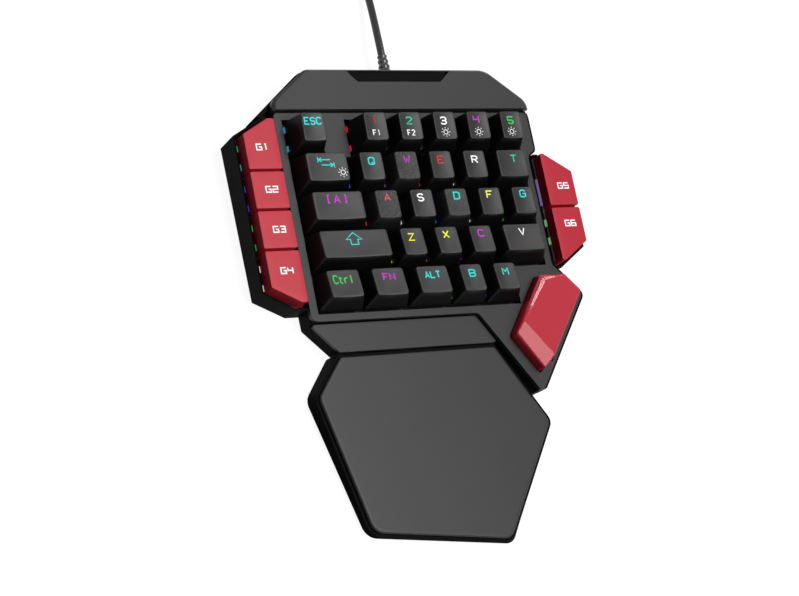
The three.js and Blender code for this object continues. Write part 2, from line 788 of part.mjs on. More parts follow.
// Bridge panel between the deck and the palm rest
const bridge_rear = deck_front - panel_groove;
const bridge_front = bridge_rear - bridge_depth;
const [, slant_rear, slant_front] = deck_outline;
function slantAt(y) {
  const share = (y - slant_rear[1]) / (slant_front[1] - slant_rear[1]);
  return slant_rear[0] + share * (slant_front[0] - slant_rear[0]);
}
const bridge_outline = [
  [deck_left + bridge_left_run, bridge_front],
  [slantAt(bridge_front) - panel_groove, bridge_front],
  [slantAt(bridge_rear) - panel_groove, bridge_rear],
  [deck_left, bridge_rear],
];
const bridge_bottom = -bridge_drop - bridge_thickness;
const bridge_x = deck_left + (deck_right - deck_left) * bridge_screw_share;
const bridge_y = (bridge_front + bridge_rear) / 2;
const bridge_boss_bottom = -hood_boss_reach + overrun;
let bridge = prism(rounded(bridge_outline, cap_corner), bridge_bottom, -bridge_drop);
bridge = bridge.add(drum(boss_radius, bridge_x, bridge_y, bridge_boss_bottom, bridge_bottom
  + bridge_thickness / 2));
bridge = bridge.subtract(drum(
  screw_radius + screw_clearance, bridge_x, bridge_y, bridge_boss_bottom - overrun, bridge_bottom,
));
place('bridge_panel', bridge, finishes.shell);

// Bottom case: one tub for the key field, the thumb end and both wings
const case_outline = [
  [deck_left, bridge_rear],
  [deck_left + bridge_left_run, bridge_front],
  [slantAt(bridge_front), bridge_front],
  ...deck_right_side,
  [deck_right, hood_front + hood_side_depth],
  [deck_right - hood_slant_run, hood_rear],
  [deck_left + hood_slant_run - shoulder_slant, hood_rear],
  [deck_left - shoulder_reach, hood_front - shoulder_rear],
  [deck_left, hood_front - shoulder_reach],
];
const left_tub = inset(left_block, [
  -wing_rim_outset, -wing_rim_outset, -wing_rim_outset, -wing_key_gap - case_wall,
  -wing_rim_outset, -wing_rim_outset - seat_gap,
]);
const right_tub = inset(right_block, [
  -wing_key_gap - case_wall, -wing_rim_outset, -wing_rim_outset, -wing_rim_outset,
  -wing_rim_outset, -wing_rim_outset,
]);

function tub(outline, top) {
  return loft([
    ring(inset(outline, case_draft), (y) => levelAt(foot_height, y)),
    ring(outline, top),
  ]);
}

function cavity(outline, wall) {
  return loft([
    ring(inset(outline, wall + case_draft), (y) => levelAt(floor_top, y)),
    ring(inset(outline, wall), overrun),
  ]);
}

const case_core = inset(case_outline, case_step);
let bottom_case = tub(case_core, case_top)
  .add(tub(left_tub, -wing_rim_drop))
  .add(tub(right_tub, -wing_rim_drop))
  .subtract(cavity(case_core, case_wall))
  .subtract(cavity(left_cavity, 0))
  .subtract(cavity(right_cavity, 0));
bottom_case = bottom_case
  .subtract(prism(rounded(inset(deck_outline, -seat_gap), deck_corner), case_top, pitch))
  .subtract(prism(inset(hood_outline, -seat_gap), case_top, pitch))
  .subtract(prism(inset(bridge_outline, [-pitch / 2, -seat_gap, -seat_gap, -pitch / 2]),
    bridge_bottom - seat_gap, pitch));

// Standoffs under the boards and the covers, and the screw bosses
function standoff(x, y, top) {
  return drum(boss_radius, x, y, levelAt(foot_height + case_floor / 2, y), top);
}
const board_bottom = board_top - board_thickness - seat_gap;
[1 / 8, 1 / 2, 7 / 8].forEach((share) => {
  bottom_case = bottom_case.add(standoff(field_width * share, -pitch, board_bottom));
  bottom_case = bottom_case.add(standoff(field_width * share, -field_depth / 2, board_bottom));
});
const wing_board_bottom = -wing_board_drop - board_thickness - seat_gap;
macro_keys.forEach((key) => {
  bottom_case = bottom_case.add(standoff(...switchOf(key), wing_board_bottom));
});
const screws = [
  { name: 'hood_screw_left', x: hood_screw_left_x, y: hood_screw_y, top: -hood_boss_reach },
  { name: 'hood_screw_right', x: hood_screw_right_x, y: hood_screw_y, top: -hood_boss_reach },
  { name: 'bridge_screw', x: bridge_x, y: bridge_y, top: bridge_boss_bottom },
];
screws.forEach(({ name, x, y, top }) => {
  const under = levelAt(foot_height, y);
  const seat = under + counterbore;
  bottom_case = bottom_case
    .add(standoff(x, y, top - seat_gap))
    .subtract(drum(screw_head_radius + screw_clearance, x, y, under - overrun, seat))
    .subtract(drum(screw_radius + screw_clearance, x, y, under, top));
  const head_top = seat - seat_gap;
  const head = drum(screw_head_radius, x, y, head_top - screw_head_height, head_top);
  const shank = drum(screw_radius, x, y, head_top - screw_head_height / 2, top + boss_radius);
  place(name, head.add(shank), finishes.steel);
});

// Cord outlet in the rear wall, and the slots for the tabs of the palm rest
const outlet_radius = relief_base_radius - relief_bore_gap - relief_rib;
const outlet = new THREE.CylinderGeometry(outlet_radius + relief_bore_gap, outlet_radius
  + relief_bore_gap, case_wall * 4, 16);
outlet.translate(0, hood_rear, 0);
outlet.translate(middle_x, 0, -cord_exit_drop);
bottom_case = bottom_case.subtract(solid(outlet));
const palm_outline = inPitches(palm_shares);
const [palm_rear_left, , palm_front_left, palm_front_right, , palm_rear_right] = palm_outline;
const [palm_left, palm_rear] = palm_rear_left;
const palm_width = palm_rear_right[0] - palm_left;
const tab_xs = [palm_left + palm_width * tab_share, palm_left + palm_width * (1 - tab_share)];
const tab_level = levelAt(tab_height, bridge_front);
function tabBox(x, margin) {
  return box(
    [x - tab_width / 2 - margin, palm_rear - palm_wall, tab_level - margin],
    [x + tab_width / 2 + margin, bridge_front + tab_reach, tab_level + tab_thickness + margin],
  );
}
tab_xs.forEach((x) => {
  bottom_case = bottom_case.subtract(tabBox(x, seat_gap));
});
place('bottom_case', bottom_case, finishes.black);

// Palm rest: a base with flared walls and a lid panel
const palm_slope = (palm_front_drop - palm_rear_drop) / (palm_rear - palm_front_right[1]);
const palmLevel = (y) => -palm_rear_drop + (y - palm_rear) * palm_slope;
const panel_under = (y) => palmLevel(y) - palm_panel_thickness;
const negative = (values) => values.map((value) => -value);
place('palm_panel', loft([
  ring(rounded(palm_outline, palm_corner), panel_under),
  ring(rounded(palm_outline, palm_corner), (y) => palmLevel(y) - palm_panel_edge),
  ring(rounded(inset(palm_outline, palm_panel_edge), palm_corner), palmLevel),
]), finishes.shell);
const palm_reach = bridge_front + case_step - seat_gap - palm_rear;
const palm_foot = inset(palm_outline, negative([...palm_flares, palm_reach]));
const palm_brim = inset(palm_outline, negative([...palm_rims, palm_reach]));
const brim_level = (y) => panel_under(y) - seat_gap;
let palm_base = loft([
  ring(rounded(palm_foot, palm_corner), (y) => levelAt(foot_height, y)),
  ring(rounded(palm_brim, palm_corner), brim_level),
]);
const palm_middle = [palm_left + palm_width / 2, (palm_rear + palm_front_right[1]) / 2];
const palm_hollow = loft([
  ring(rounded(inset(palm_foot, palm_wall), palm_corner), (y) => levelAt(floor_top, y)),
  ring(rounded(inset(palm_brim, palm_wall), palm_corner), (y) => brim_level(y) + overrun),
]);
const rib_x = box(
  [palm_middle[0] - palm_rib / 2, palm_middle[1] - palm_width, -palm_width],
  [palm_middle[0] + palm_rib / 2, palm_middle[1] + palm_width, 0],
);
const rib_y = box(
  [palm_middle[0] - palm_width, palm_middle[1] - palm_rib / 2, -palm_width],
  [palm_middle[0] + palm_width, palm_middle[1] + palm_rib / 2, 0],
);
palm_base = palm_base.subtract(palm_hollow.subtract(rib_x).subtract(rib_y));
tab_xs.forEach((x) => {
  palm_base = palm_base.add(tabBox(x, 0));
});
place('palm_base', palm_base, finishes.black);

// Stand the tilted half on the table, over the middle of its own footprint
const footprint = new THREE.Box3().setFromObject(tilted);
tilted.rotation.x = deck_tilt;
tilted.updateMatrixWorld(true);
footprint.setFromObject(tilted, true);
const centre = footprint.getCenter(new THREE.Vector3());
tilted.position.set(-centre.x, -centre.y, deck_height);
tilted.updateMatrixWorld(true);

// Point of the tilted frame, in the frame of the whole keypad
function toTable(x, y, level) {
  return tilted.localToWorld(new THREE.Vector3(x, y, level));
}

// Rubber feet
const feet = [
  ['foot_rear_left', deck_left + foot_radius * 2, 0],
  ['foot_rear_right', deck_right - foot_radius * 2, 0],
  ['foot_palm_left', palm_front_left[0] + foot_radius * 2, palm_front_left[1] + foot_radius * 2],
  ['foot_palm_right', palm_front_right[0] - foot_radius, palm_front_right[1] + foot_radius * 3],
];
feet.forEach(([name, x, y]) => {
  const at = toTable(x, y, levelAt(0, y));
  place(name, drum(foot_radius, 0, 0, 0, foot_height - seat_gap, 20), finishes.rubber, keypad,
    [at.x, at.y, 0]);
});

// Strain relief: a ribbed boot through the rear wall
const relief_stations = 3;
const relief_profile = [[0, -relief_inner_length], [relief_flange_radius, -relief_inner_length],
  [relief_flange_radius, -relief_inner_length + relief_flange],
  [outlet_radius, -relief_inner_length + relief_flange], [outlet_radius, seat_gap],
  [relief_base_radius, seat_gap]];
for (let i = 1; i <= relief_stations; i += 1) {
  const share = i / (relief_stations + 1);
  const radius = THREE.MathUtils.lerp(relief_base_radius, relief_tip_radius, share ** (1 / 2));
  relief_profile.push([radius - relief_rib, relief_length * (share - 1 / 10)]);
  relief_profile.push([radius, relief_length * share]);
}
relief_profile.push([relief_tip_radius, relief_length]);
relief_profile.push([0, relief_length]);
const relief = new THREE.LatheGeometry(
  relief_profile.map(([radius, along]) => new THREE.Vector2(radius, along)), 16,
);
place('strain_relief', solid(relief), finishes.rubber, tilted, [middle_x, hood_rear,
  -cord_exit_drop]);

// Coil: one tube that spirals in and out, a layer higher after each reversal, with a tail that
// runs down to the plug
const cord_radius = cord_diameter / 2;
const cord_level = cord_radius + cord_rest;
const coil_step = cord_diameter + coil_loop_gap;
const layer_turns = coil_turns / coil_layers;
const coil_outer_radius = (coil_middle_diameter + layer_turns * coil_step) / 2;
const climb_turns = 1 / 4;
const coil_centre = [coil_start[0] + coil_outer_radius, coil_start[1]];
const plug_level = plug_height / 2;

function coilPoint(turns) {
  const layer = Math.min(Math.floor(turns / layer_turns), coil_layers - 1);
  const along = turns - layer * layer_turns;
  const inward = layer % 2 === 0 ? along : layer_turns - along;
  const radius = coil_outer_radius - inward * coil_step;
  let height = cord_level;
  for (let reversal = 1; reversal < coil_layers; reversal += 1) {
    const at = reversal * layer_turns;
    const climbed = THREE.MathUtils.smoothstep(turns, at - climb_turns, at + climb_turns);
    height += climbed * coil_step;
  }
  const angle = Math.PI - turns * Math.PI * 2;
  return new THREE.Vector3(
    coil_centre[0] + radius * Math.cos(angle),
    coil_centre[1] + radius * Math.sin(angle),
    height,
  );
}

const coil_path = [new THREE.Vector3(coil_start[0], coil_start[1] - cord_diameter, cord_level)];
const coil_count = Math.round(coil_turns * coil_steps);
for (let i = 0; i <= coil_count; i += 1) {
  coil_path.push(coilPoint((i * coil_turns) / coil_count));
}
const tail_start = coil_path[coil_path.length - 1];
const tail_count = 10;
for (let i = 1; i <= tail_count; i += 1) {
  const share = i / tail_count;
  const fallen = THREE.MathUtils.smoothstep(share, 1 / 3, 1);
  coil_path.push(new THREE.Vector3(
    tail_start.x + coil_tail * share,
    tail_start.y,
    THREE.MathUtils.lerp(tail_start.z, plug_level, fallen),
  ));
}
const tail_end = coil_path[coil_path.length - 1];
coil_path.push(tail_end.clone().add(new THREE.Vector3(cord_diameter, 0, 0)));

// Tube along a path that never runs upright
function tube(path, radius, sides) {
  const positions = [];
  const index = [];
  const up = new THREE.Vector3(0, 0, 1);
  path.forEach((point, k) => {
    const before = path[Math.max(k - 1, 0)];
    const after = path[Math.min(k + 1, path.length - 1)];
    const tangent = after.clone().sub(before).normalize();
    const across = tangent.clone().cross(up).normalize();
    const over = across.clone().cross(tangent);
    for (let i = 0; i < sides; i += 1) {
      const angle = (i / sides) * Math.PI * 2;
      const spoke = across.clone().multiplyScalar(Math.cos(angle) * radius);
      spoke.add(over.clone().multiplyScalar(Math.sin(angle) * radius));
      positions.push(...point.clone().add(spoke).toArray());
      if (k + 1 < path.length) {
        const a = k * sides + i;
        const b = k * sides + ((i + 1) % sides);
        index.push(a, b + sides, b, a, a + sides, b + sides);
      }
    }
  });
  const last = (path.length - 1) * sides;
  for (let i = 1; i + 1 < sides; i += 1) {
    index.push(0, i, i + 1, last, last + i + 1, last + i);
  }
  const geometry = new THREE.BufferGeometry();
  geometry.setAttribute('position', new THREE.Float32BufferAttribute(positions, 3));
  geometry.setIndex(index);
  return geometry;
}

// Least gap between stretches of the coil that are over half a loop apart
let coil_gap = Infinity;
coil_path.forEach((point, i) => {
  coil_path.slice(i + coil_steps / 2).forEach((other) => {
    coil_gap = Math.min(coil_gap, point.distanceTo(other) - cord_diameter);
  });
});
place('cord_coil', tube(coil_path, cord_radius, coil_sides), finishes.rubber, keypad);

// Free stretch of the cord, from the strain relief to the coil
const outward = new THREE.Vector3(0, Math.cos(deck_tilt), Math.sin(deck_tilt));
const cord_start = toTable(middle_x, hood_rear + relief_length + seat_gap, -cord_exit_drop);
const cord_end = coil_path[0].clone().sub(new THREE.Vector3(0, seat_gap, 0));
const cord_curve = new THREE.CatmullRomCurve3([
  cord_start,
  cord_start.clone().addScaledVector(outward, cord_diameter),
  ...cord_points.map((point) => new THREE.Vector3(...point)),
  cord_end.clone().sub(new THREE.Vector3(0, cord_diameter, 0)),
  cord_end,
]);
const cord_section = new THREE.Shape();
for (let i = 0; i < cord_sides; i += 1) {
  const angle = (i / cord_sides) * Math.PI * 2;
  const corner = [cord_radius * Math.cos(angle), cord_radius * Math.sin(angle)];
  if (i === 0) {
    cord_section.moveTo(...corner);
  } else {
    cord_section.lineTo(...corner);
  }
}
const cord_tube = new THREE.ExtrudeGeometry(cord_section, {
  steps: Math.round(cord_curve.getLength() / cord_diameter),
  extrudePath: cord_curve,
  bevelEnabled: false,
});
place('cord', solid(cord_tube), finishes.rubber, keypad);

// Plug: a moulded body with a boot and a tongue, and the open metal shell round the tongue
function rectangleRing(half_width, half_height, along) {
  return rounded(rectangle(-half_width, half_width, -half_height, half_height), plug_edge, 2)
    .map(([y, z]) => [y, z, along]);
}
const plug_body_start = plug_boot_length;
const plug_body_end = plug_body_start + plug_length;
let plug_body = loft([
  rectangleRing(plug_width / 2 - plug_edge, plug_height / 2 - plug_edge / 2, plug_body_start),
  rectangleRing(plug_width / 2, plug_height / 2, plug_body_start + plug_edge),
  rectangleRing(plug_width / 2, plug_height / 2, plug_body_end - plug_edge / 2),
  rectangleRing(plug_width / 2 - plug_edge / 2, plug_height / 2 - plug_edge / 2, plug_body_end),
]);
const boot_profile = [[0, 0], [cord_radius + seat_gap, 0],
  [plug_boot_radius, plug_boot_length], [plug_boot_radius, plug_boot_length + plug_edge * 2],
  [0, plug_boot_length + plug_edge * 2]];
const boot = new THREE.LatheGeometry(
  boot_profile.map(([radius, along]) => new THREE.Vector2(radius, along)), 12,
);
boot.rotateX(Math.PI / 2);
plug_body = plug_body.add(solid(boot));
const socket_start = plug_body_end - shell_socket_depth;
const shell_half = [shell_width / 2, shell_height / 2];
const shell_inner = shell_half.map((half) => half - shell_wall);
plug_body = plug_body.subtract(box(
  [-shell_half[0] - seat_gap, -shell_half[1] - seat_gap, socket_start],
  [shell_half[0] + seat_gap, shell_half[1] + seat_gap, plug_body_end + overrun],
));
const tongue_top = shell_inner[1] - shell_wall;
plug_body = plug_body.add(box(
  [-shell_inner[0] + seat_gap, tongue_top - plug_tongue_thickness, socket_start - overrun],
  [shell_inner[0] - seat_gap, tongue_top, plug_body_end + shell_length - shell_socket_depth
    - overrun],
));
const plug_shell = box(
  [-shell_half[0], -shell_half[1], socket_start + seat_gap],
  [shell_half[0], shell_half[1], plug_body_end + shell_length - shell_socket_depth],
).subtract(box(
  [-shell_inner[0], -shell_inner[1], socket_start - overrun],
  [shell_inner[0], shell_inner[1], plug_body_end + shell_length],
));
const coil_end = coil_path[coil_path.length - 1];
const plug = new THREE.Group();
plug.position.set(coil_end.x + seat_gap, coil_end.y, coil_end.z);
plug.setRotationFromMatrix(new THREE.Matrix4().makeBasis(
  new THREE.Vector3(0, 1, 0), new THREE.Vector3(0, 0, 1), new THREE.Vector3(1, 0, 0),
));
keypad.add(plug);
place('plug_body', plug_body, finishes.rubber, plug);
place('plug_shell', plug_shell, finishes.steel, plug);

let coil_length = 0;
for (let i = 1; i < coil_path.length; i += 1) {
  coil_length += coil_path[i].distanceTo(coil_path[i - 1]);
}
console.log('least gap inside the coil', coil_gap.toFixed(2));
console.log('cord length', (cord_curve.getLength() + coil_length).toFixed(0));

export default keypad;
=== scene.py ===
# %% [markdown]
# # A one-handed gaming keypad
#
# The object is a small left-hand keyboard: 28 sculpted black caps lit from below, six red macro
# keys on two wings, a red thumb bar and a six-sided palm rest. The solids and their joints come
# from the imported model, which stays as it is. This notebook gives each of them its skin, its
# lettering and its finish.

import json
import math

import bmesh
import bpy
import numpy as np
from mathutils import Matrix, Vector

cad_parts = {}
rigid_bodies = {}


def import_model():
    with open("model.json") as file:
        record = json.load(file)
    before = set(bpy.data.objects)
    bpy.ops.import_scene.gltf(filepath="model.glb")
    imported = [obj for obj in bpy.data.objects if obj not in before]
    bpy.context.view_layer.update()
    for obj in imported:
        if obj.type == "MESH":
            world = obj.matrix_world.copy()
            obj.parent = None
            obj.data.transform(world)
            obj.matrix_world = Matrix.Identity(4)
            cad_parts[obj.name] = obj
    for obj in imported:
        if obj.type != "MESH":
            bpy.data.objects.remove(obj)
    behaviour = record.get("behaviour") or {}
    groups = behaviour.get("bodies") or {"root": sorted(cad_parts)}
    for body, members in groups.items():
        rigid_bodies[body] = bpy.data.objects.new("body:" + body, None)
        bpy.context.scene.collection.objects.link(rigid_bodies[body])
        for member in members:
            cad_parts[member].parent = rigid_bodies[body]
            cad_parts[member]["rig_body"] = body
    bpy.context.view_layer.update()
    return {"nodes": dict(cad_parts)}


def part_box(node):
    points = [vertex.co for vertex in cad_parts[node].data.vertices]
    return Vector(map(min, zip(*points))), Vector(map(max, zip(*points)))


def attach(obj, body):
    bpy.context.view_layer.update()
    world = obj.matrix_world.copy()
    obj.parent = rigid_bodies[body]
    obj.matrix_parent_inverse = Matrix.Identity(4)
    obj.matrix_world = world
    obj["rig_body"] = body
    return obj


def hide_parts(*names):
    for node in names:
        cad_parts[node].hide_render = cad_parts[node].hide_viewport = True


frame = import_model()
nodes = frame["nodes"]
scene = bpy.context.scene


def new_object(name, data):
    """An object of the scene that shows some data."""
    made = bpy.data.objects.new(name, data)
    scene.collection.objects.link(made)
    return made


# %% [markdown]
# ## Two frames
#
# The keys stand square to the deck, and the deck leans two degrees on its feet. Every shape is
# easier to write in the deck's own frame, in millimetres: x to the right, y to the rear, z square
# to the deck, from the rear left corner of the key field. One function carries such points to
# metres on the table.

# %% From the deck's frame to the table's
pitch = 19.05
deck_tilt = math.radians(2)
field_origin = np.array([-64.194, 91.595, 18.397])
lean = np.array([
    [1, 0, 0],
    [0, math.cos(deck_tilt), -math.sin(deck_tilt)],
    [0, math.sin(deck_tilt), math.cos(deck_tilt)],
])


def to_table(points):
    """Deck millimetres to table metres: turned by the lean about x, then moved to the origin."""
    return (np.asarray(points, float) @ lean.T + field_origin) / 1000


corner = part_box("key_q")[0]
print("key Q starts", round(corner.x * 1000 - field_origin[0], 2), "mm from the field's edge")

# %% [markdown]
# ## Camera
#
# The view was solved from the tops of the keys, whose pitch is known. It looks down from the left
# with a slight roll, through a long lens. Its three axes are written out, because a roll is hard
# to read from angles.

# %% Camera
camera = new_object("camera", bpy.data.cameras.new("camera"))
scene.camera = camera
camera_right = (0.868409, -0.20822, 0.450012)
camera_up = (0.04588, 0.937407, 0.345201)
camera_back = (-0.493722, -0.279129, 0.823605)
camera_place = (-0.54019, -0.29191, 0.88203)
axes = Matrix((camera_right, camera_up, camera_back)).transposed().to_4x4()
camera.matrix_world = Matrix.Translation(camera_place) @ axes
camera.data.sensor_width = 36
camera.data.lens = 100.96
camera.data.clip_start = 0.05
camera.data.clip_end = 20

# %% [markdown]
# ## Surfaces from two parameters
#
# Nearly every moulded part here is one profile carried round an outline: one parameter runs round
# the outline, the other up the profile. The outline is a polygon whose corners are arcs, and each
# point keeps the direction that points straight out, so that the profile can step in or out from
# it. All rows are worked out at once as arrays.


# %% Outlines with round corners
def unit(vectors):
    """Vectors brought to length one."""
    return vectors / np.linalg.norm(vectors, axis=-1, keepdims=True)


def sides_out(corners):
    """Unit normals, pointing out, of the side before and the side after each corner."""
    edge = np.roll(corners, -1, -2) - corners
    ahead = unit(np.stack([edge[..., 1], -edge[..., 0]], -1))
    return np.roll(ahead, 1, -2), ahead


def moved_in(corners, before, after):
    """Corners moved to where the side before and the side after them cross, once each has moved
    in by its own distance."""
    back, ahead = sides_out(corners)
    dot = (back * ahead).sum(-1)[..., None]
    before, after = np.asarray(before, float)[..., None], np.asarray(after, float)[..., None]
    return corners - ((before - after * dot) * back + (after - before * dot) * ahead) / (1 - dot**2)


def inset(corners, steps):
    """Outline moved in by one step, or by a step for each side, the first starting at the first
    corner."""
    corners = np.asarray(corners, float)
    steps = np.broadcast_to(steps, corners.shape[:-1])
    return moved_in(corners, np.roll(steps, 1, -1), steps)


def rounded(corners, radius, arc_steps=5, side_steps=4):
    """Points and outward directions round polygons given anticlockwise in the last two axes.

    At each corner the arc's centre lies inside by the radius along the mitre of the two edges, and
    the direction turns evenly from one edge's normal to the next; sides are cut in equal steps."""
    corners = np.asarray(corners, float)
    radius = np.broadcast_to(radius, corners.shape[:-1]).astype(float)
    back, ahead = sides_out(corners)
    cross = back[..., 0] * ahead[..., 1] - back[..., 1] * ahead[..., 0]
    turn = np.arctan2(cross, (back * ahead).sum(-1))
    reach = radius * np.sign(cross)
    centre = moved_in(corners, reach, reach)
    share = np.linspace(0, 1, arc_steps + 1)
    angle = np.arctan2(back[..., 1], back[..., 0])[..., None] + turn[..., None] * share
    out = np.stack([np.cos(angle), np.sin(angle)], -1)
    arc = centre[..., None, :] + out * reach[..., None, None]
    start, end = arc[..., -1:, :], np.roll(arc[..., :1, :], -1, -3)
    along = np.linspace(0, 1, side_steps + 2)[1:-1, None]
    side = start + (end - start) * along
    side_out = np.broadcast_to(ahead[..., None, :], side.shape)
    points = np.concatenate([arc, side], -2)
    outs = np.concatenate([out, side_out], -2)
    shape = corners.shape[:-2] + (-1, 2)
    return points.reshape(shape), outs.reshape(shape)


def rectangle(left, right, front, rear):
    """Corners of a rectangle, anticlockwise, for numbers or for arrays of them."""
    left, right, front, rear = np.broadcast_arrays(left, right, front, rear)
    return np.stack([
        np.stack([left, front], -1), np.stack([right, front], -1),
        np.stack([right, rear], -1), np.stack([left, rear], -1),
    ], -2).astype(float)


def shoulder(rows):
    """Quarter of a round edge of radius 1: how far each row steps in, and how far it has risen."""
    quarter = np.linspace(0, math.pi / 2, rows)
    return 1 - np.cos(quarter), np.sin(quarter)


# %% Skins and pieces
def skin(rows, ring=False):
    """Closed skin over rows of points that run anticlockwise and step upwards: a quad between
    neighbours, and a fan to the middle of the first row and of the last. In a ring the last row
    joins the first instead."""
    count, around = rows.shape[:2]
    index = np.arange(count * around).reshape(count, around)
    ahead = np.roll(index, -1, 1)
    quads = np.stack([index, ahead, np.roll(ahead, -1, 0), np.roll(index, -1, 0)], -1)
    if ring:
        return rows.reshape(-1, 3), [quads.reshape(-1, 4)]
    low = np.stack([np.full(around, count * around), ahead[0], index[0]], -1)
    high = np.stack([np.full(around, count * around + 1), index[-1], ahead[-1]], -1)
    middles = np.stack([rows[0].mean(0), rows[-1].mean(0)])
    return np.concatenate([rows.reshape(-1, 3), middles]), [quads[:-1].reshape(-1, 4), low, high]


def shaded(mesh, sharp, finishes):
    """Smooth shading, crisp where edges turn by more than the sharp angle, and the finishes."""
    mesh.polygons.foreach_set("use_smooth", np.ones(len(mesh.polygons), bool))
    mesh.set_sharp_from_angle(angle=math.radians(sharp))
    for finish in finishes:
        mesh.materials.append(finish)


def declared(piece, body, replaced):
    """Tells the frame a piece's body and the solids that it stands for."""
    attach(piece, body)
    if replaced:
        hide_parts(*replaced)
    return piece


def add_piece(name, parts, finish, body="housing", replaces=(), sharp=35, at=(0, 0),
              in_metres=False):
    """One object from parts, each (points, face arrays), drawn in deck millimetres about a place,
    or in table metres where said so."""
    points = np.concatenate([p for p, _ in parts])
    starts = np.cumsum([0] + [len(p) for p, _ in parts[:-1]])
    faces = [f for (_, sets), s in zip(parts, starts) for a in sets for f in (a + s).tolist()]
    if not in_metres:
        points = to_table(points + [*at, 0])
    mesh = bpy.data.meshes.new(name)
    mesh.from_pydata(points.tolist(), [], faces)
    shaded(mesh, sharp, [finish])
    return declared(new_object(name, mesh), body, replaces)


def bar(x, y, half_x, half_y, low, high, radius=0.4, arc_steps=3):
    """Upright bar about a place, from one height to another, with rounded corners."""
    corners = rectangle(x - half_x, x + half_x, y - half_y, y + half_y)
    outline, _ = rounded(corners, radius, arc_steps, 0)
    rows = np.stack([np.column_stack([outline, np.full(len(outline), z)]) for z in (low, high)])
    return skin(rows)


# %% [markdown]
# ## Finishes
#
# A material here is named for what the real one is made of and how its surface was made. Colours
# are written as sRGB hex, as one would pick them from a picture, and one function turns them to
# the linear values that the renderer works in. The other small functions add a node, a cloud of
# noise, a ramp, a blend of two colours, a bump and the shader itself.


# %% Colour and node helpers
def linear(code):
    """sRGB hex to linear RGBA: the low end divided by 12.92, the rest raised to 2.4."""
    value = np.array([int(code[i : i + 2], 16) for i in (1, 3, 5)]) / 255
    low, high = value / 12.92, ((value + 0.055) / 1.055) ** 2.4
    return (*np.where(value <= 0.04045, low, high).tolist(), 1.0)


def add_node(material, kind, values=None, links=None, **settings):
    """Adds one shader node, sets its properties and sockets, and links outputs into its inputs."""
    tree = material.node_tree
    node = tree.nodes.new("ShaderNode" + kind)
    for name, value in settings.items():
        setattr(node, name, value)
    for name, value in (values or {}).items():
        node.inputs[name].default_value = value
    for name, output in (links or {}).items():
        tree.links.new(output, node.inputs[name])
    return node


def new_material(name):
    """Empty node material."""
    material = bpy.data.materials.new(name)
    material.use_nodes = True
    material.node_tree.nodes.clear()
    return material


def noise(material, scale, detail=2, roughness=0.5, stretch=(1, 1, 1)):
    """Clouds from 0 to 1 over the object's metres, as many to the metre as the scale says."""
    place = add_node(material, "TexCoord").outputs["Object"]
    if stretch != (1, 1, 1):
        place = add_node(material, "Mapping", {"Scale": stretch}, {"Vector": place}).outputs[0]
    return add_node(material, "TexNoise",
                    {"Scale": scale, "Detail": detail, "Roughness": roughness},
                    {"Vector": place}).outputs["Fac"]


def ramp(material, low, high, value, start=0, end=1):
    """Runs from low to high while the value runs from start to end."""
    return add_node(material, "MapRange", {"From Min": start, "From Max": end,
                                           "To Min": low, "To Max": high},
                    {"Value": value}).outputs["Result"]


def blend(material, dark, light, factor):
    """Mix of two sRGB hex colours."""
    return add_node(material, "Mix", {"A": linear(dark), "B": linear(light)},
                    {"Factor": factor}, data_type="RGBA").outputs["Result"]


def bumped(material, height, depth_mm):
    """Normals bent as if the surface rose by so many millimetres where the height is 1."""
    return add_node(material, "Bump", {"Strength": 1, "Distance": depth_mm / 1000},
                    {"Height": height}).outputs["Normal"]


def calculated(material, operation, first, second):
    """Two values made into one."""
    return add_node(material, "Math", None, {0: first, 1: second}, operation=operation).outputs[0]


def shader_out(material, values, links, kind="BsdfPrincipled", output="OutputMaterial"):
    """The shader, linked to the surface output."""
    shader = add_node(material, kind, values, links)
    add_node(material, output, None, {"Surface": shader.outputs[0]})
    return shader


def by_slope(material, wall, top):
    """One value on upright walls, another on faces that point up, and a ramp between them."""
    normal = add_node(material, "TexCoord").outputs["Normal"]
    upward = add_node(material, "SeparateXYZ", None, {"Vector": normal}).outputs["Z"]
    return ramp(material, wall, top, upward, 0.5, 0.95)


blotches_per_metre, marks_per_metre = 40, 90


def moulded(name, dark, light, roughness, grain_mm, bump_mm, gloss=0.5, rough_spread=0.08,
            wall_gloss=None):
    """Moulded plastic: colour drifts slowly between two tones, grain of a real size lifts the
    surface, and handling varies the roughness. Walls can be duller than what points up."""
    material = new_material(name)
    worn = noise(material, marks_per_metre, 4)
    shader = shader_out(material, {"Specular IOR Level": gloss, "IOR": 1.5}, {
        "Base Color": blend(material, dark, light, noise(material, blotches_per_metre)),
        "Roughness": ramp(material, roughness - rough_spread, roughness + rough_spread, worn),
        "Normal": bumped(material, noise(material, 1000 / grain_mm, 3, 0.6), bump_mm),
    })
    if wall_gloss is not None:
        material.node_tree.links.new(by_slope(material, wall_gloss, gloss),
                                     shader.inputs["Specular IOR Level"])
    return material
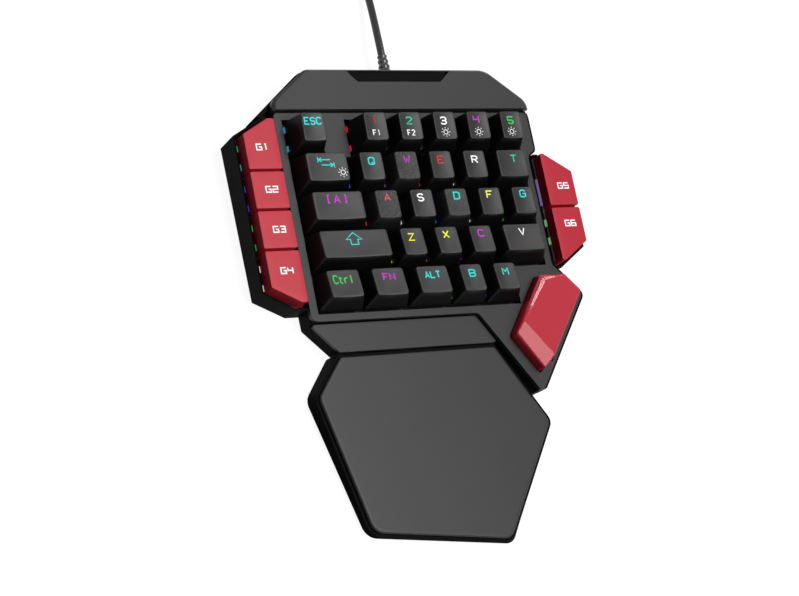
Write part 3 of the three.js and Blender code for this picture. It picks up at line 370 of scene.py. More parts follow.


# %% [markdown]
# The shell is ABS with a fine spark-eroded grain, which makes it matte and a little grey. The case
# under it is the same plastic in black, and a near-black band of painted shade runs along the
# shell's right and rear edges.
# Caps are black ABS too, glossier on top than on their walls. The red keys are painted, and their
# walls are dull; on the left wing their red is lighter, which is painted light for the stronger
# light there. Only the thumb bar is painted glossy.

# %% Plastics
shell_abs = moulded("matte moulded ABS dark grey", "#2e2e2f", "#323233", 0.33, 0.35, 0.012,
                    gloss=0.2, rough_spread=0.03)
case_abs = moulded("matte moulded ABS black", "#131314", "#171718", 0.5, 0.35, 0.02,
                   gloss=0.01)
# Near-black and matte: painted shade for a band along the shell's right and rear edges.
shade_band_abs = moulded("near-black painted shade band", "#060607", "#09090a", 0.6, 0.35, 0.005, gloss=0.01)
cap_abs = moulded("satin moulded ABS black", "#0b0b0c", "#0f0f10", 0.33, 0.3, 0.008, gloss=0.34,
                  rough_spread=0.04, wall_gloss=0.15)
red_abs = moulded("satin painted ABS red", "#b01f30", "#b42434", 0.36, 0.25, 0.004, gloss=0.21,
                  wall_gloss=0.02)
# The same red paint made lighter: painted light, for the stronger light on the left wing.
red_abs_painted_light = moulded("satin painted ABS red, lighter as painted light", "#c02b3b", "#c42f3e", 0.36, 0.25, 0.004,
                        gloss=0.21, wall_gloss=0.02)
gloss_red = moulded("gloss painted ABS red", "#b82c3c", "#bc3140", 0.1, 0.25, 0.0001,
                    gloss=0.21, rough_spread=0.01, wall_gloss=0.06)
nylon = moulded("moulded nylon black", "#101011", "#161617", 0.6, 0.4, 0.01, gloss=0.3)
jacket = moulded("extruded PVC black", "#0a0a0b", "#0f0f10", 0.27, 0.5, 0.005, gloss=0.45)
tpe = moulded("moulded TPE black", "#080808", "#0c0c0c", 0.22, 0.5, 0.005, gloss=0.7)
silicone = moulded("moulded silicone rubber black", "#0d0d0d", "#131313", 0.85, 0.6, 0.02)
laminate = moulded("solder-masked FR4 green", "#12351d", "#1a4527", 0.4, 0.8, 0.01)
# The light guides' dark tone is painted shade: it keeps them as dark as if they lay in shadow.
acrylic = moulded("extruded acrylic darkened as painted shade", "#24262a", "#2c2f33", 0.3, 0.5, 0.003)


# %% Plated steel
def plated(name, code, roughness):
    """Plated steel: a metal whose roughness varies finely along the rolling direction."""
    material = new_material(name)
    rolled = noise(material, 900, 3, stretch=(1, 12, 1))
    shader_out(material, {"Base Color": linear(code), "Metallic": 1}, {
        "Roughness": ramp(material, roughness - 0.07, roughness + 0.1, rolled),
        "Normal": bumped(material, rolled, 0.01),
    })
    return material


nickel = plated("nickel-plated steel", "#c4c2bd", 0.25)
zinc = plated("zinc-plated steel", "#b4b8bc", 0.35)
print(len(bpy.data.materials), "materials so far")

# %% [markdown]
# ## Cord
#
# The cord leaves the strain relief, drops to the table, and its unseen length lies wound behind
# the keypad: a flat coil of four layers, each a spiral that runs in or out, one cord higher after
# each reversal. The route is worked out as one line of points, and a tube is swept along it. The
# direction across the tube is the cross product of the path with straight up, which never fails
# here because the cord never stands upright.


# %% Route of the cord
def smooth(share):
    """Eases from 0 to 1: three squares less two cubes."""
    share = np.clip(share, 0, 1)
    return share * share * (3 - 2 * share)


cord_diameter = 3.8
hood_rear = 26.0
middle_x = 66.79
relief_length = 11.5
exit_drop = 9.5
cord_start = to_table([middle_x, hood_rear + relief_length, -exit_drop]) * 1000
outward = lean @ np.array([0, 1, 0])
table_gap = 0.1
cord_level = cord_diameter / 2 + table_gap
coil_start = np.array([6.4, 206.0])
route = np.array([
    cord_start, cord_start + outward * cord_diameter, [3.1, 140, 9.6], [3.9, 148, 8.4],
    [4.8, 156, 6.9], [5.7, 165, 5], [6.3, 178, 2.9], [6.4, 190, 2.1],
    [coil_start[0], coil_start[1] - 2 * cord_diameter, cord_level],
    [coil_start[0], coil_start[1] - cord_diameter, cord_level],
])


def through(knots, steps):
    """Smooth line through knots: on each span a cubic whose end slopes are half the distance
    between the knots on either side."""
    ends = np.concatenate([[2 * knots[0] - knots[1]], knots, [2 * knots[-1] - knots[-2]]])
    a, b, c, d = ends[:-3, None], ends[1:-2, None], ends[2:-1, None], ends[3:, None]
    t = np.linspace(0, 1, steps, endpoint=False)[:, None]
    line = b + (c - a) / 2 * t + (a - 2.5 * b + 2 * c - d / 2) * t**2 \
        + (1.5 * (b - c) + (d - a) / 2) * t**3
    return line.reshape(-1, 3)


free_part = through(route, 6)

# %% Coil and tail
coil_layers, coil_turns, coil_hole, coil_gap = 4, 12.25, 42, 0.6
steps_per_turn, climb_turns = 36, 0.5
coil_step = cord_diameter + coil_gap
layer_turns = coil_turns / coil_layers
coil_radius = (coil_hole + layer_turns * coil_step) / 2
turns = np.linspace(0, coil_turns, int(coil_turns * steps_per_turn) + 1)
layer = np.minimum(np.floor(turns / layer_turns), coil_layers - 1)
along = turns - layer * layer_turns
inward = np.where(layer % 2 == 0, along, layer_turns - along)
radius = coil_radius - inward * coil_step
reversals = np.arange(1, coil_layers)[:, None] * layer_turns
climb = smooth((turns - reversals + climb_turns / 2) / climb_turns).sum(0)
bearing = math.pi - turns * 2 * math.pi
coil_part = np.column_stack([
    coil_start[0] + coil_radius + radius * np.cos(bearing),
    coil_start[1] + radius * np.sin(bearing),
    cord_level + climb * coil_step,
])
plug_level, tail_length = 3.9, 44
tail_share = np.linspace(0, 1, 13)[1:]
tail_part = coil_part[-1] + np.column_stack([
    tail_length * tail_share, 0 * tail_share,
    (plug_level - coil_part[-1, 2]) * smooth((tail_share - 1 / 3) * 1.5),
])
last = tail_part[-1] + np.array([cord_diameter, 0, 0])
cord_path = np.concatenate([free_part, coil_part, tail_part, [last]]) / 1000


# %% Tube along the route
def sweep(path, radius, sides):
    """Round tube: at each point a circle in the plane square to the path, whose first direction is
    the cross product of the path's direction with straight up."""
    ahead = unit(np.gradient(path, axis=0))
    across = unit(np.cross(ahead, [0, 0, 1.0]))
    over = np.cross(across, ahead)
    angle = np.linspace(0, 2 * math.pi, sides, endpoint=False)[:, None]
    spoke = across[:, None] * np.cos(angle) + over[:, None] * np.sin(angle)
    return path[:, None] + spoke * radius


cord = add_piece("cord_jacket", [skin(sweep(cord_path, cord_diameter / 2000, 16)[:, ::-1])], jacket,
                 replaces=["cord", "cord_coil"], in_metres=True)

# %% [markdown]
# A hook-and-loop strap holds the coil. It is a flat band whose outline hugs the bundle: a
# rectangle with round corners, a cord's width wider than the layers, and thinner where it lies
# between the coil and the table.

# %% Strap round the coil
strap_play, strap_floor, strap_half = 0.3, 0.07, 5.0
strap_thinnest, strap_gain, gain_height = 0.06, 0.7, 1.5
bundle_outer = coil_radius + cord_diameter / 2 + strap_play
bundle_inner = coil_radius - layer_turns * coil_step - cord_diameter / 2 - strap_play
bundle_top = cord_level + (coil_layers - 1) * coil_step + cord_diameter / 2 + strap_play
strap_line, strap_out = rounded(
    rectangle(bundle_inner, bundle_outer, strap_floor, bundle_top), 2.5, 8, 6)
strap_share = smooth((strap_line[:, 1] - strap_floor) / gain_height)
strap_thickness = strap_thinnest + strap_gain * strap_share
strap_outer = strap_line + strap_out * strap_thickness[:, None]
ring_points = np.stack([strap_line, strap_line, strap_outer, strap_outer])
ring_across = np.array([-1, 1, 1, -1])[:, None] * strap_half
strap_rows = np.stack([
    coil_start[0] + coil_radius + ring_points[..., 0],
    coil_start[1] + ring_across + 0 * ring_points[..., 0],
    ring_points[..., 1],
], -1) / 1000
strap = add_piece("cord_strap", [skin(strap_rows, ring=True)], nylon,
                  in_metres=True)

# %% [markdown]
# The strain relief is a moulded sleeve with ribs that let it bend. It is a profile spun about the
# cord's axis: the radius falls from the case to the tip, and a raised cosine cuts the ribs.


# %% Strain relief
def spun(along, radius, sides=32):
    """Rows of circles: the profile's radius at each distance along the axis, turned about it."""
    angle = np.linspace(0, 2 * math.pi, sides, endpoint=False)
    along, radius = np.asarray(along, float)[:, None], np.asarray(radius, float)[:, None]
    return np.stack([radius * np.sin(angle), along + 0 * angle, radius * np.cos(angle)], -1)


sleeve = np.linspace(0, 1, 61)
sleeve_base, sleeve_taper, rib_depth, rib_count = 3.8, 1.3, 0.45, 4
ribs = rib_depth * (0.5 - 0.5 * np.cos(sleeve * rib_count * 2 * math.pi))
sleeve_radius = sleeve_base - sleeve_taper * np.sqrt(sleeve) - ribs * smooth((sleeve - 0.02) * 20)
inner_end, flange_end, sleeve_start = -5, -3.5, 0.3
flange_radius, bore_radius, almost_none = 5, 3.05, 0.05
relief_along = np.concatenate([[inner_end, inner_end, flange_end, flange_end, sleeve_start],
                               sleeve_start + sleeve * (relief_length - sleeve_start)])
relief_radius = np.concatenate([[almost_none, flange_radius, flange_radius, bore_radius,
                                 bore_radius], sleeve_radius])
relief_rows = spun(relief_along, relief_radius) + [middle_x, hood_rear, -exit_drop]
relief = add_piece("relief_sleeve", [skin(relief_rows)], tpe,
                   replaces=["strain_relief"])

# %% [markdown]
# ## Key caps
#
# A cap is a hollow, tapered box whose top leans by its row and is dished for the fingertip. One
# parameter runs round its rounded rectangle. The other runs from the ceiling inside, down the
# inner wall, round the lower edge, up the outside, over the rounded shoulder and across the top
# to the middle. Height grows as a share of the cap's height, and all four sides lean in with that
# share, so every row of the skin is the same formula.

# %% Sizes of the caps
cap_heights = [12.7, 10.1, 9.4, 9.8, 9.4]
cap_tilts = np.radians([2.7, -0.1, -1.8, -7.6, -9.1])
cap_gap, cap_drop = 0.45, 0.75
lean_side, lean_front, lean_rear = 3.2, 4.2, 0.3
cap_edge, cap_dish, cap_wall, cap_roof = 0.4, 0.5, 1.2, 1.4
key_rows = [
    {"esc": 1, "gap": 0.75, "1": 1, "2": 1, "3": 1, "4": 1, "5": 1},
    {"tab": 1.5, "q": 1, "w": 1, "e": 1, "r": 1, "t": 1.25},
    {"caps": 1.75, "a": 1, "s": 1, "d": 1, "f": 1, "g": 1},
    {"shift": 2.25, "z": 1, "x": 1, "c": 1, "v": 1.5},
    {"ctrl": 1.25, "fn": 1.25, "alt": 1.25, "b": 1, "m": 1},
]
cells = {}
for row, keys in enumerate(key_rows):
    start = 0
    for name, width in keys.items():
        cells[name] = (row, width, (start + width / 2) * pitch, -(row + 0.5) * pitch)
        start += width
del cells["gap"]
print(len(cells), "caps")


# %% Cap surface
def top_half(width):
    """Half width and depth of the top face, and the distance of its middle from the cell's."""
    half_x = width * pitch / 2 - cap_gap - lean_side - cap_edge
    half_y = pitch / 2 - cap_gap - (lean_front + lean_rear) / 2 - cap_edge
    return half_x, half_y, (lean_front - lean_rear) / 2


def dished(x, y, width):
    """Depth of the dish: full along the middle line, nothing at the sides, falling off by half
    towards the front and rear edges, each as one less the square of the distance."""
    half_x, half_y, middle = top_half(width)
    side = np.clip(1 - (x / half_x) ** 2, 0, 1)
    return cap_dish * side * (1 - 0.5 * np.clip((y - middle) / half_y, -1, 1) ** 2)


def cap_top(x, y, row, width):
    """Height of the finished top: a plane that leans by the row's angle, less the dish."""
    return -cap_drop + cap_heights[row] + y * math.tan(cap_tilts[row]) - dished(x, y, width)


def cap_rows(row, width):
    """All rows of a cap: share of the height, step in from the outline, and shrink to the
    middle are given per row, and the formula above turns them into points."""
    height, tilt = cap_heights[row], cap_tilts[row]
    over, up = shoulder(6)
    edge = cap_edge / height
    across = np.linspace(1, 0.08, 9)[1:]
    low = [1 - cap_roof / height, 0, 0, 0.3, 0.65]
    share = np.concatenate([low, 1 - edge + edge * up, 1 + 0 * across])
    step_in = np.concatenate([[cap_wall, cap_wall, 0, 0, 0], cap_edge * over,
                              cap_edge + 0 * across])
    shrink = np.concatenate([np.ones(len(low) + len(up)), across])
    bowl = np.concatenate([np.zeros(len(low)), up, 1 + 0 * across])
    half, depth = width * pitch / 2 - cap_gap, pitch / 2 - cap_gap
    corners = rectangle(-half + lean_side * share, half - lean_side * share,
                        -depth + lean_front * share, depth - lean_rear * share)
    points, out = rounded(corners, (1.25 + 0.1 * share)[:, None], 6, 7)
    points = points - out * step_in[:, None, None]
    middle = corners.mean(1, keepdims=True)
    points = middle + (points - middle) * shrink[:, None, None]
    x, y = points[..., 0], points[..., 1]
    level = -cap_drop + (height + y * math.tan(tilt)) * share[:, None]
    level -= dished(x, y, width) * bowl[:, None]
    return np.concatenate([points, level[..., None]], -1)


# %% Slider and post under each cap
slider_top, slider_depth = 4.6, 7
slider_half, post_half, post_corner = (3.5, 2.7), 2.8, 2.75


def stem(ceiling):
    """Post from the ceiling down to the slider, and the slider that runs in the switch."""
    return [bar(0, 0, post_half, post_half, slider_top - 1, ceiling + 0.5, post_corner, 5),
            bar(0, 0, *slider_half, slider_top - slider_depth, slider_top)]


# %% [markdown]
# Three of the caps, W, A and D, are the ones a finger should find without looking. Theirs is a
# coarser, mottled texture that shows as light and dark flecks on top and hardly on the walls.


# %% Textured caps
def mottled(name):
    """Rough-textured ABS: flecks of about a millimetre in lighter and darker grey, raised."""
    material = new_material(name)
    fleck = noise(material, 1000, 4, 0.75)
    # The flecks are lighter grey on faces that point up and fade almost away on the walls.
    flecks_lighter_on_top = calculated(material, "MULTIPLY", ramp(material, 0, 1, fleck, 0.35, 0.68),
                        by_slope(material, 0.15, 1))
    shader_out(material, {"Roughness": 0.4, "IOR": 1.5, "Specular IOR Level": 0.25}, {
        "Base Color": blend(material, "#0c0c0d", "#444446", flecks_lighter_on_top),
        "Normal": bumped(material, fleck, 0.15),
    })
    return material


flecked = mottled("rough-textured ABS black")
for name, (row, width, x, y) in cells.items():
    ceiling = -cap_drop + cap_heights[row] - cap_roof
    add_piece("cap_" + name, [skin(cap_rows(row, width)), *stem(ceiling)],
              flecked if name in ("w", "a", "d") else cap_abs,
              body="key_" + name, replaces=["key_" + name], sharp=40, at=(x, y))

# %% [markdown]
# ## Legends
#
# The letters are clear windows lasered through the paint of each cap, lit in many colours from
# below. Each letter is a few straight strokes on a grid of four by six, two digits to a point. A
# stroke becomes a flat ribbon: every point moves half the width to either side along the mitre of
# its corner. The ribbon is then laid on the cap's own surface formula, a hair above it.

# %% Letters as strokes
letters = {
    "A": "002640 1232", "B": "00063645443342413000 0333", "C": "4536160501103041",
    "D": "00063645413000", "E": "46060040 0333", "F": "460600 0333",
    "G": "45361605011030414323", "L": "060040", "M": "0006234640", "N": "00064046",
    "Q": "100105163645413010 2240", "R": "00063645443303 2340", "S": "453616050413334241301001",
    "T": "0646 2620", "V": "062046", "W": "0610243046", "X": "0640 0046", "Z": "06460040",
    "t": "15112030 0434", "r": "0400 031434", "l": "1610", "1": "152620",
    "2": "05163645440040", "3": "0516364544334241301001 1333", "4": "060343 4640",
    "5": "460603334241301001", "[": "26161020", "]": "26363020",
}
wide_letters = {
    "G": "460600404323", "1": "162620", "2": "064643030040", "3": "06464000 1343",
    "4": "060343 4640", "5": "460603434000", "6": "460600404303",
}


def strokes_of(text, size, advance, table=letters):
    """Polylines of a word about its middle: digit pairs become grid points scaled to the size."""
    width, height = size
    lines = []
    for place, letter in enumerate(text):
        shift = (place - (len(text) - 1) / 2) * advance - width / 2
        for stroke in table[letter].split():
            grid = np.array([int(digit) for digit in stroke], float).reshape(-1, 2)
            lines.append(grid * [width / 4, height / 6] + [shift, -height / 2])
    return lines


# %% Signs that are not letters
def sun(size):
    """A ring, and eight rays about it."""
    angle = np.linspace(0, 2 * math.pi, 17)
    spoke = np.column_stack([np.cos(angle), np.sin(angle)]) * size / 2
    return [spoke * 0.46] + [np.stack([ray * 0.74, ray]) for ray in spoke[:-1:2]]


def arrow(length, way):
    """A line with a barbed head that points along x, and a bar for it to stop at."""
    tip = np.array([length / 2, 0])
    head = np.array([[-1.5, 1], [0, 0], [-1.5, -1]]) + tip
    bar = np.array([[0.45, 1.35], [0.45, -1.35]]) + tip
    return [line * [way, 1] for line in (np.array([-tip, tip]), head, bar)]


shift_arrow = [np.array([[0, 3], [4.2, -0.4], [1.9, -0.4], [1.9, -3], [-1.9, -3], [-1.9, -0.4],
                         [-4.2, -0.4], [0, 3]])]
tab_arrows = [line + [-0.6, 1.3] for line in arrow(6.2, -1)]
tab_arrows += [line + [0.6, -1.3] for line in arrow(6.2, 1)]


# %% Ribbons along strokes
def ribbon(line, width, step=0.7):
    """Flat strip along a line: at each corner both edges lie on the mitre, whose reach is held to
    one and a half widths; each straight run is then cut into equal steps."""
    closed = np.allclose(line[0], line[-1])
    run = np.diff(line, axis=0)
    normal = unit(np.column_stack([-run[:, 1], run[:, 0]]))
    before = np.concatenate([normal[-1:] if closed else normal[:1], normal])
    after = np.concatenate([normal, normal[:1] if closed else normal[-1:]])
    mitre = (before + after) / np.maximum(1 + (before * after).sum(1), 0.5)[:, None]
    left, right = line + mitre * width / 2, line - mitre * width / 2
    cuts = np.maximum(np.ceil(np.linalg.norm(run, axis=1) / step).astype(int), 1)
    knot = np.arange(len(line))
    place = np.concatenate([np.linspace(k, k + 1, c, endpoint=False)
                            for k, c in zip(knot, cuts)] + [knot[-1:]])
    both = [np.column_stack([np.interp(place, knot, side[:, i]) for i in (0, 1)])
            for side in (left, right)]
    flat = np.stack([both[1], both[0]], 1)
    index = np.arange(len(place) * 2).reshape(-1, 2)
    quads = np.stack([index[:-1, 0], index[1:, 0], index[1:, 1], index[:-1, 1]], -1)
    return flat.reshape(-1, 2), [quads]


def printed(lines, width, centre, surface, lift=0.05):
    """Strokes laid on a surface given as a height over x and y, a hair above it."""
    parts = []
    for line in lines:
        flat, faces = ribbon(line, width)
        flat = flat + centre
        level = surface(flat[:, 0], flat[:, 1]) + lift
        parts.append((np.column_stack([flat, level]), faces))
    return parts


# %% Lit and printed colours
def lit(name, code, strength):
    """Back-lit window in laser-etched polycarbonate: smoked plastic, and light that varies slightly
    over the print, as a diffuser's does."""
    material = new_material(name)
    shader_out(material, {"Base Color": linear("#141414"), "Roughness": 0.4, "IOR": 1.58,
                          "Specular IOR Level": 0.1, "Emission Color": linear(code)},
               {"Emission Strength": ramp(material, strength * 0.9, strength * 1.1,
                                          noise(material, 350))})
    return material


lamp_codes = {
    "cyan": "#1ccac4", "red": "#c81626", "green": "#26bc4c", "teal": "#22b48a",
    "white": "#ececec", "magenta": "#bc20bc", "coral": "#c8444c", "yellow": "#e2e42a",
    "orange": "#d87020", "blue": "#1c50cc", "purple": "#7848a0",
    "lilac": "#7a66a0", "pale": "#70b078", "ruby": "#8c1a20", "sky": "#2890bc",
}
legend_glow, strip_glow = 1.3, 0.7
lamps = {name: lit("laser-etched PC lit " + name, code, legend_glow)
         for name, code in lamp_codes.items()}
print(len(lamps), "lamp colours")

# %% Which key carries what
main_size = (3.0, 3.4)
main_stroke, small_stroke, sun_stroke, one_stroke = 0.66, 0.48, 0.32, 1.0
legends = {
    "esc": [("ESC", -.09, 4.69, "cyan")],
    "1": [("1", -.07, 4.64, "ruby"), ("F1", -.14, -1.36, "white")],
    "2": [("2", -.52, 4.51, "teal"), ("F2", -.40, -1.55, "white")],
    "3": [("3", -.43, 4.37, "white"), ("sun", -.15, -1.44, "white")],
    "4": [("4", -.89, 4.86, "magenta"), ("sun", -.49, -1.41, "white")],
    "5": [("5", -.21, 4.31, "green"), ("sun", -.52, -1.50, "white")],
    "tab": [("tabs", -.50, 4.04, "cyan"), ("sun", 7.42, -1.11, "white")],
    "q": [("Q", -.01, 4.34, "cyan")], "w": [("W", .46, 4.83, "magenta")],
    "e": [("E", -.16, 4.42, "red")], "r": [("R", .04, 4.21, "white")],
    "t": [("T", 1.06, 4.26, "teal")], "caps": [("[A]", -.42, 5.12, "magenta")],
    "a": [("A", .29, 5.34, "coral")], "s": [("S", -.65, 4.77, "white")],
    "d": [("D", .41, 5.19, "cyan")], "f": [("F", -.03, 5.35, "yellow")],
    "g": [("G", .02, 5.30, "cyan")], "shift": [("up", -.36, 4.43, "cyan")],
    "z": [("Z", -.58, 4.15, "yellow")], "x": [("X", -.42, 4.84, "yellow")],
    "c": [("C", .13, 4.89, "magenta")], "v": [("V", -.27, 4.93, "white")],
    "ctrl": [("Ctrl", 0, 4.01, "green")], "fn": [("FN", .10, 4.36, "magenta")],
    "alt": [("ALT", -.12, 4.32, "cyan")], "b": [("B", .40, 4.18, "cyan")],
    "m": [("M", -.05, 4.20, "cyan")],
}
short = {"ESC": ((2.3, 3.2), 3.2), "F1": ((1.5, 2.6), 2.4), "F2": ((1.5, 2.6), 2.4),
         "[A]": ((2.9, 3.7), 4.0), "Ctrl": ((2.2, 3.9), 2.9), "FN": ((2.5, 3.1), 3.5),
         "ALT": ((2.1, 3.1), 3.0)}


# %% Legends of the black caps
def drawing(sign):
    """Strokes of a legend and the width they are drawn with."""
    if sign == "sun":
        return sun(4.9), sun_stroke
    if sign == "tabs":
        return tab_arrows, small_stroke
    if sign == "up":
        return shift_arrow, small_stroke
    size, advance = short.get(sign, (main_size, 0))
    width = {"F1": small_stroke, "F2": small_stroke, "1": one_stroke}.get(sign, main_stroke)
    return strokes_of(sign, size, advance), width


for name, signs in legends.items():
    row, width, x, y = cells[name]
    for place, (sign, dx, dy, colour) in enumerate(signs):
        lines, stroke_width = drawing(sign)
        parts = printed(lines, stroke_width, [dx, dy],
                        lambda u, v: cap_top(u, v, row, width))
        add_piece(f"legend_{name}_{place}", parts, lamps[colour],
                  body="key_" + name, at=(x, y))

# %% [markdown]
# ## Macro keys
#
# The two red blocks each start as one six-sided outline. It is cut across into keys, with a seam
# of 1.2 mm between them. Each key is again a profile round an outline: ceiling, inner wall, lower
# edge, outer wall with a little draft, and a rounded shoulder.

# %% Outlines of the macro keys
key_left, key_right = -24.4, -7.0
seam = 1.2
left_rear, left_ends, left_middle = 0.5, 25.2, 18.2
g1_front = -left_rear - left_ends
g2_front = g1_front - seam - left_middle
g3_front = g2_front - seam - left_middle
g4_front = g3_front - seam - left_ends
bar_left, bar_right = 136.19, 152.79
right_rear, right_length, left_cut, right_cut = -20.4, 27.3, 14, 14.5
g5_front = right_rear - right_length
g6_front = g5_front - seam - right_length
macro_outlines = {
    "key_g1": [[key_left, -8.2], [key_left, g1_front], [key_right, g1_front],
               [key_right, -left_rear], [key_left + left_cut, -left_rear]],
    "key_g2": rectangle(key_left, key_right, g2_front, g1_front - seam),
    "key_g3": rectangle(key_left, key_right, g3_front, g2_front - seam),
    "key_g4": [[key_left, g3_front - seam], [key_left, g4_front + 7.7],
               [key_left + left_cut, g4_front], [key_right, g4_front],
               [key_right, g3_front - seam]],
    "key_g5": [[bar_left, right_rear], [bar_left, g5_front], [bar_right, g5_front],
               [bar_right, right_rear - 9.6], [bar_right - right_cut, right_rear]],
    "key_g6": [[bar_left, g5_front - seam], [bar_left, g6_front],
               [bar_right - right_cut, g6_front], [bar_right, g6_front + 9.6],
               [bar_right, g5_front - seam]],
}
macro_rise, macro_skirt, macro_roof, macro_edge = 5.1, 2.2, 1.8, 0.4


# %% Macro key surface
def shelled(outline, radius, steps, levels, shrink, sides=6):
    """Rows round an outline: each row steps in by its own distance, sits at its own level and
    shrinks towards the middle by its own factor."""
    grown = np.stack([inset(outline, step) for step in np.asarray(steps)])
    points, _ = rounded(grown, radius, 5, sides)
    middle = np.asarray(outline, float).mean(0)
    points = middle + (points - middle) * np.asarray(shrink)[:, None, None]
    level = np.broadcast_to(np.asarray(levels, float)[:, None], points.shape[:2])
    return np.concatenate([points, level[..., None]], -1)


def profile(start, edge, top, edge_rows, end):
    """Steps in, levels and shrinks of a shell's rows: some to start with as (step, level), a round
    edge up to the top, and rows across it as (drop, shrink)."""
    over, up = shoulder(edge_rows)
    (step, level), (drop, shrink) = np.transpose(start), np.transpose(end)
    return (np.concatenate([step, edge * over, edge + 0 * drop]),
            np.concatenate([level, top - edge + edge * up, top - drop]),
            np.concatenate([1 + 0 * step, 1 + 0 * up, shrink]))


def macro_rows(outline):
    """Ceiling inside, inner wall, lower edge, outer wall, rounded shoulder, top."""
    start = [(1.4, macro_rise - macro_roof), (1, -macro_skirt), (-0.4, -macro_skirt), (0, 0)]
    rows = profile(start, macro_edge, macro_rise, 6, [(0, 0.6), (0, 0.1)])
    radius = np.concatenate([[0.3, 0.3], np.full(10, 0.9)])
    return shelled(outline, radius[:, None], *rows)


macro_marks = {
    "key_g1": ("G1", -15.61, -14.88), "key_g2": ("G2", -14.82, -35.86),
    "key_g3": ("G3", -14.92, -55.44), "key_g4": ("G4", -15.04, -75.42),
    "key_g5": ("G5", 145.87, -37.61), "key_g6": ("G6", 145.28, -57.32),
}
macro_letter, macro_advance, macro_stroke, macro_slider_low = (2.5, 2.8), 3.5, 0.62, -3.5
for name, outline in macro_outlines.items():
    outline = np.asarray(outline, float)
    right_wing = name in ("key_g5", "key_g6")
    x = (bar_left + bar_right if right_wing else key_left + key_right) / 2
    side = outline[:, 0] == (bar_right if right_wing else key_left)
    y = (outline[side, 1].min() + outline[side, 1].max()) / 2
    slider = bar(x, y, *slider_half, macro_slider_low, macro_rise - 0.9)
    # The left wing's keys take the lighter red, which is painted light.
    add_piece("cap_" + name[4:], [skin(macro_rows(outline)), slider],
              red_abs if right_wing else red_abs_painted_light,
              body=name, replaces=[name])
    text, x, y = macro_marks[name]
    lines = strokes_of(text, macro_letter, macro_advance, wide_letters)
    parts = printed(lines, macro_stroke, [x, y], lambda u, v: macro_rise + 0 * u)
    add_piece("legend_" + name[4:], parts, lamps["white"], body=name)

# %% [markdown]
# ## Thumb bar
#
# The bar's top is a plane that breaks along a slanted line and falls by 1.3 mm beyond it. The
# height over x and y is a function of the distance past that line, softened over a fraction of a
# millimetre. Its shoulder hangs from this surface and so follows the facet down. It runs to a
# second outline, the crown, which lies furthest in at the rear left corner: there the shoulder is
# over two millimetres wide. It folds into two facets, of which the inner one is nearly level and
# mirrors a light as a thin white line.

# %% Thumb bar
thumb_outline = np.array([[6.33, -4.385], [5.262, -5.88], [5.9, -6.85], [6.235, -6.54],
                          [7.462, -4.85], [7.05, -4.37]]) * pitch
thumb_crown = np.array([[6.445, -4.545], [5.31, -5.87], [5.9, -6.8], [6.19, -6.535],
                        [7.425, -4.85], [7.035, -4.41]]) * pitch
break_from, break_to = np.array([[5.3, -5.25], [6.5, -6.85]]) * pitch
thumb_rise, thumb_roof, thumb_skirt, thumb_hang, facet_drop = 6.5, 4.5, 2.0, 1.1, 1.3
fold_in, fold_up = 0.45, 0.739
softness, thumb_wall, thumb_draft, thumb_corner, crown_corner = 0.03, 1.6, 0.2, 1.4, 0.5


def beyond_break(x, y):
    """Distance past the break line: the cross product with its direction."""
    run = unit(break_to - break_from)
    return run[1] * (x - break_from[0]) - run[0] * (y - break_from[1])


facet_reach = beyond_break(*thumb_outline[2])


def thumb_top(x, y):
    """Height of the bar's top: level, then falling beyond the break, with a soft bend."""
    past = beyond_break(x, y)
    bent = (past + np.sqrt(past**2 + softness)) / 2
    return thumb_rise - bent / facet_reach * facet_drop


def thumb_rows():
    """Rows as on the macro keys, with heights hung from the broken top. The shoulder runs from the
    outline to the crown's outline in two facets, the inner one nearly level."""
    rings = 48
    ahead = np.array([0, 0.04, 0.1, 0.25, 0.38, 0.42, 0.44, 0.46, 0.48, 0.75, 0.97, 1])
    bend = np.interp(ahead, [0, fold_in, 1], [0, fold_up, 1])
    across = np.linspace(1, 0.03, rings + 1)[1:]
    low = np.stack([inset(thumb_outline, step) for step in (thumb_wall, thumb_wall, -thumb_draft)])
    rim = thumb_outline + (thumb_crown - thumb_outline) * ahead[:, None, None]
    crown = np.broadcast_to(thumb_crown, (rings, 6, 2))
    corners = np.concatenate([low, rim, crown])
    radius = np.concatenate([[0.3, 0.3, thumb_corner],
                             thumb_corner - (thumb_corner - crown_corner) * ahead,
                             np.full(rings, crown_corner)])[:, None]
    points, _ = rounded(corners, radius, 5, 44)
    middle = thumb_crown.mean(0)
    shrink = np.concatenate([np.ones(len(low) + len(ahead)), across])[:, None, None]
    points = middle + (points - middle) * shrink
    hang = np.concatenate([thumb_hang * (bend - 1), 0 * across])
    level = thumb_top(points[..., 0], points[..., 1])
    level[3:] += hang[:, None]
    level[0] = thumb_roof
    level[1:3] = -thumb_skirt
    return np.concatenate([points, level[..., None]], -1)


def turned(points, centre, degrees):
    """Points turned about an upright axis through a centre."""
    a = math.radians(degrees)
    turn = np.array([[math.cos(a), math.sin(a), 0], [-math.sin(a), math.cos(a), 0], [0, 0, 1]])
    return (points - [*centre, 0]) @ turn + [*centre, 0]


thumb_switch, thumb_turn, thumb_slider_low = (117.92, -106.01), 54.45, -2.4
slider_points, slider_faces = bar(*thumb_switch, *slider_half, thumb_slider_low, thumb_roof + 0.2)
slider = (turned(slider_points, thumb_switch, thumb_turn), slider_faces)
add_piece("cap_thumb", [skin(thumb_rows()), slider], gloss_red,
          body="thumb_bar", replaces=["thumb_bar"], sharp=50)

# %% [markdown]
# ## Palm rest and hood
#
# The palm panel is a gently falling plate with a narrow rounded rim. Its two rear corners are
# nearly sharp and the others generously round. The plate over the cord's outlet is a shallow dish.

